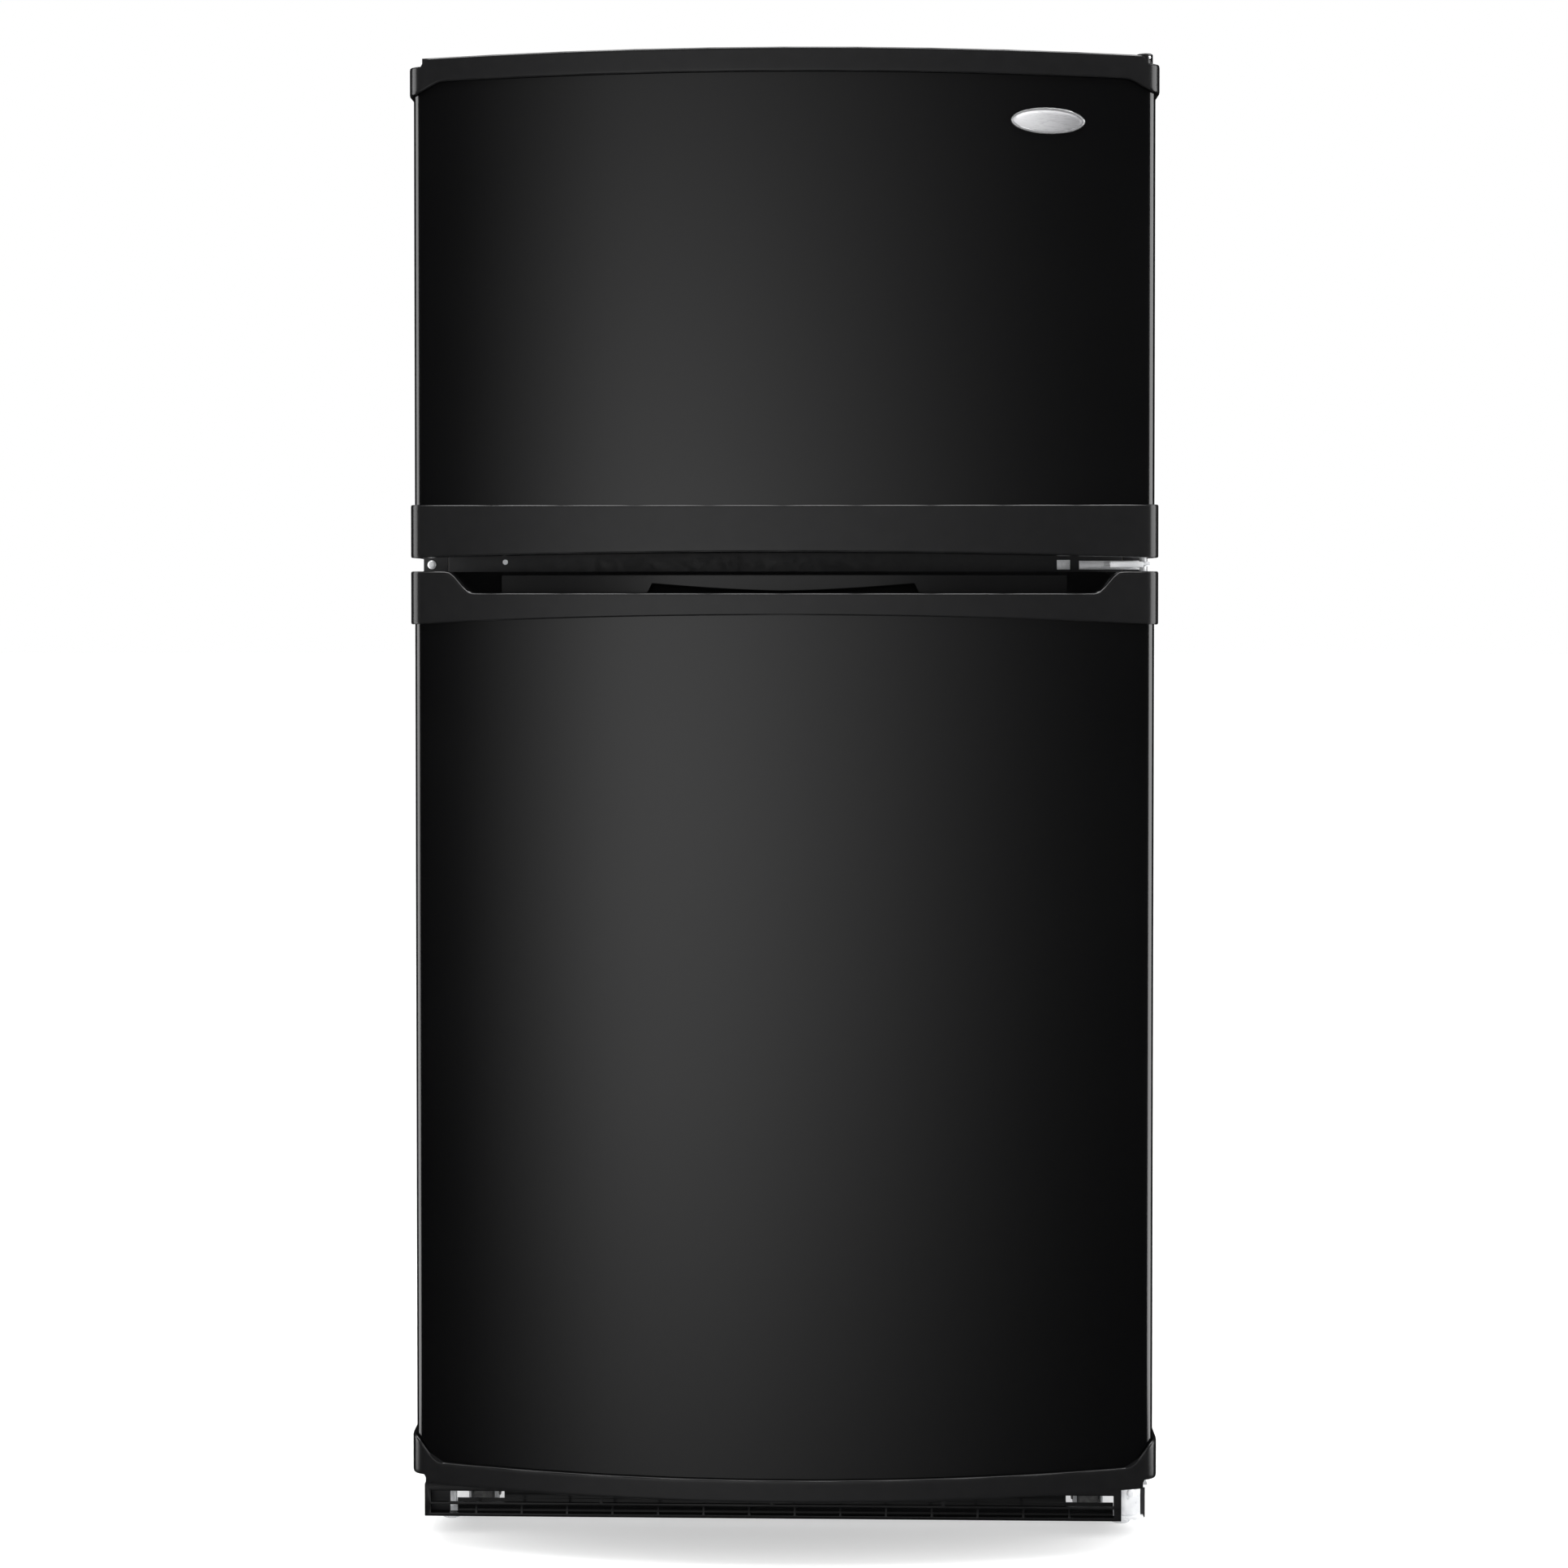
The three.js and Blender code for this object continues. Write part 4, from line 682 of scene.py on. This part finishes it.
# stage: pale floor, soft lights, camera
stageSettings = {
    "floorSize": 60.0, "floorColour": (0.70, 0.70, 0.70), "floorGlow": 0.42,
    "sun": {"strength": 0.9, "angle": 80},
    "worldDiffuse": 0.68, "worldGlossy": 0.012,
    "front": {"place": (0.0, -3.40, 0.60), "size": (5.2, 4.4), "radiance": 1.28},  # falls off towards its rim
    "frontAcross": [(0.0, 0.0), (0.058, 0.02), (0.106, 0.16), (0.171, 0.41), (0.235, 0.71), (0.293, 0.98),
                    (0.35, 1.0), (0.406, 0.94), (0.46, 0.82), (0.513, 0.685), (0.586, 0.494), (0.66, 0.32),
                    (0.737, 0.18), (0.817, 0.078), (0.908, 0.02), (0.98, 0.0)],
    "frontUp": [(0.0, 0.3), (0.143, 0.56), (0.278, 0.83), (0.414, 1.0), (0.549, 1.0), (0.684, 0.88),
                (0.857, 0.56), (1.0, 0.35)],
    "sides": [{"place": (-2.2, -0.80, 1.0), "size": (1.2, 3.4), "radiance": 4.6},
              {"place": (2.2, -0.98, 1.0), "size": (1.56, 3.4), "radiance": 5.2}],
    "over": {"place": (0.0, -0.9, 3.3), "size": (3.0, 1.6), "radiance": 9.0},
    "inside": {"place": (0, -0.038, 0.982), "size": (0.12, 0.06), "energy": 0.7, "colour": (1, 0.94, 0.84)},
}


def makeFloor():
    bm = bmesh.new()
    bmesh.ops.create_grid(bm, x_segments=1, y_segments=1, size=stageSettings["floorSize"] / 2)
    mesh = bpy.data.meshes.new("studio_floor")
    bm.to_mesh(mesh)
    bm.free()
    floor = bpy.data.objects.new("studio_floor", mesh)
    bpy.context.scene.collection.objects.link(floor)
    paper = newFinish("studioPaper", stageSettings["floorColour"], 0.9, Emission_Color=(1, 1, 1, 1),
                      Emission_Strength=stageSettings["floorGlow"])
    mesh.materials.append(paper)
    floor.visible_glossy = False


def aimedLight(name, place, target, size, radiance):
    light = bpy.data.lights.new(name, "AREA")
    light.shape = "RECTANGLE"
    light.size, light.size_y = size
    light.energy = radiance * math.pi * size[0] * size[1]
    lamp = bpy.data.objects.new(name, light)
    lamp.location = place
    lamp.rotation_euler = (Vector(target) - Vector(place)).to_track_quat("-Z", "Y").to_euler()
    lamp.visible_camera = False
    bpy.context.scene.collection.objects.link(lamp)
    return lamp


def fadedLight(lamp, across, up):  # the panel's brightness falls off across and up it
    light = lamp.data
    light.use_nodes = True
    tree = light.node_tree
    emission = next(node for node in tree.nodes if node.type == "EMISSION")
    place = tree.nodes.new("ShaderNodeNewGeometry")
    parts = tree.nodes.new("ShaderNodeSeparateXYZ")
    tree.links.new(place.outputs["Parametric"], parts.inputs[0])
    both = tree.nodes.new("ShaderNodeMath")
    both.operation = "MULTIPLY"
    for index, (axis, stops) in enumerate((("X", across), ("Y", up))):
        ramp = tree.nodes.new("ShaderNodeValToRGB")
        ramp.color_ramp.interpolation = "B_SPLINE"
        while len(ramp.color_ramp.elements) < len(stops):
            ramp.color_ramp.elements.new(0.5)
        for element, (position, value) in zip(ramp.color_ramp.elements, stops):
            element.position = position
            element.color = (value, value, value, 1)
        tree.links.new(parts.outputs[axis], ramp.inputs["Fac"])
        tree.links.new(ramp.outputs["Color"], both.inputs[index])
    tree.links.new(both.outputs[0], emission.inputs["Strength"])


def makeLights():
    settings = stageSettings
    front = settings["front"]
    panel = aimedLight("frontLight", front["place"], (front["place"][0], 0, front["place"][2]), front["size"],
                       front["radiance"])
    fadedLight(panel, settings["frontAcross"], settings["frontUp"])
    for index, side in enumerate(settings["sides"]):
        target = (0, *side["place"][1:])
        aimedLight("sideLight" + str(index), side["place"], target, side["size"], side["radiance"])
    over = settings["over"]
    aimedLight("overLight", over["place"], (0, over["place"][1] + 0.001, 0), over["size"], over["radiance"])
    sun = bpy.data.lights.new("topSun", "SUN")
    sun.energy = settings["sun"]["strength"]
    sun.angle = math.radians(settings["sun"]["angle"])
    lamp = bpy.data.objects.new("topSun", sun)
    bpy.context.scene.collection.objects.link(lamp)
    lamp.location = (0, 0, 4)


def makeCabinetLamp():  # the refrigerator's own lamp, under the lens
    settings = stageSettings["inside"]
    glow = bpy.data.lights.new("cabinetLamp", "AREA")
    glow.shape = "RECTANGLE"
    glow.size, glow.size_y = settings["size"]
    glow.energy = settings["energy"]
    glow.color = settings["colour"]
    inside = bpy.data.objects.new("cabinetLamp", glow)
    inside.location = settings["place"]
    inside.visible_camera = False
    bpy.context.scene.collection.objects.link(inside)
    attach(inside, "cabinet")


def makeWorld():
    world = bpy.data.worlds.new("studio")
    world.use_nodes = True
    tree = world.node_tree
    background = tree.nodes["Background"]
    path = tree.nodes.new("ShaderNodeLightPath")
    glossy = tree.nodes.new("ShaderNodeMapRange")  # diffuse light from all round, little of it mirrored
    glossy.inputs["To Min"].default_value = stageSettings["worldDiffuse"]
    glossy.inputs["To Max"].default_value = stageSettings["worldGlossy"]
    tree.links.new(path.outputs["Is Glossy Ray"], glossy.inputs["Value"])
    seen = tree.nodes.new("ShaderNodeMix")
    seen.data_type = "FLOAT"
    tree.links.new(path.outputs["Is Camera Ray"], seen.inputs["Factor"])
    tree.links.new(glossy.outputs["Result"], seen.inputs["A"])
    seen.inputs["B"].default_value = 1.0
    tree.links.new(seen.outputs["Result"], background.inputs["Strength"])
    background.inputs["Color"].default_value = (1, 1, 1, 1)
    bpy.context.scene.world = world


cameraSettings = {"distance": 2.2, "edgeY": -0.359, "height": 1.08, "tilt": 0.8, "yaw": 1.0, "lens": 45.54,
                  "shiftX": -0.0032, "shiftY": -0.107}


def makeCamera():
    settings = cameraSettings
    data = bpy.data.cameras.new("camera")
    data.lens = settings["lens"]
    data.sensor_width = 36
    data.shift_x, data.shift_y = settings["shiftX"], settings["shiftY"]
    camera = bpy.data.objects.new("camera", data)
    far = settings["distance"] - settings["edgeY"]
    yaw = math.radians(settings["yaw"])
    camera.location = (far * math.sin(yaw), -far * math.cos(yaw), settings["height"])
    camera.rotation_euler = (math.radians(90 - settings["tilt"]), 0, yaw)
    bpy.context.scene.collection.objects.link(camera)
    bpy.context.scene.camera = camera


makeFloor()
makeLights()
makeCabinetLamp()
makeWorld()
makeCamera()
bpy.context.scene.view_settings.view_transform = "Standard"
print("stage made")
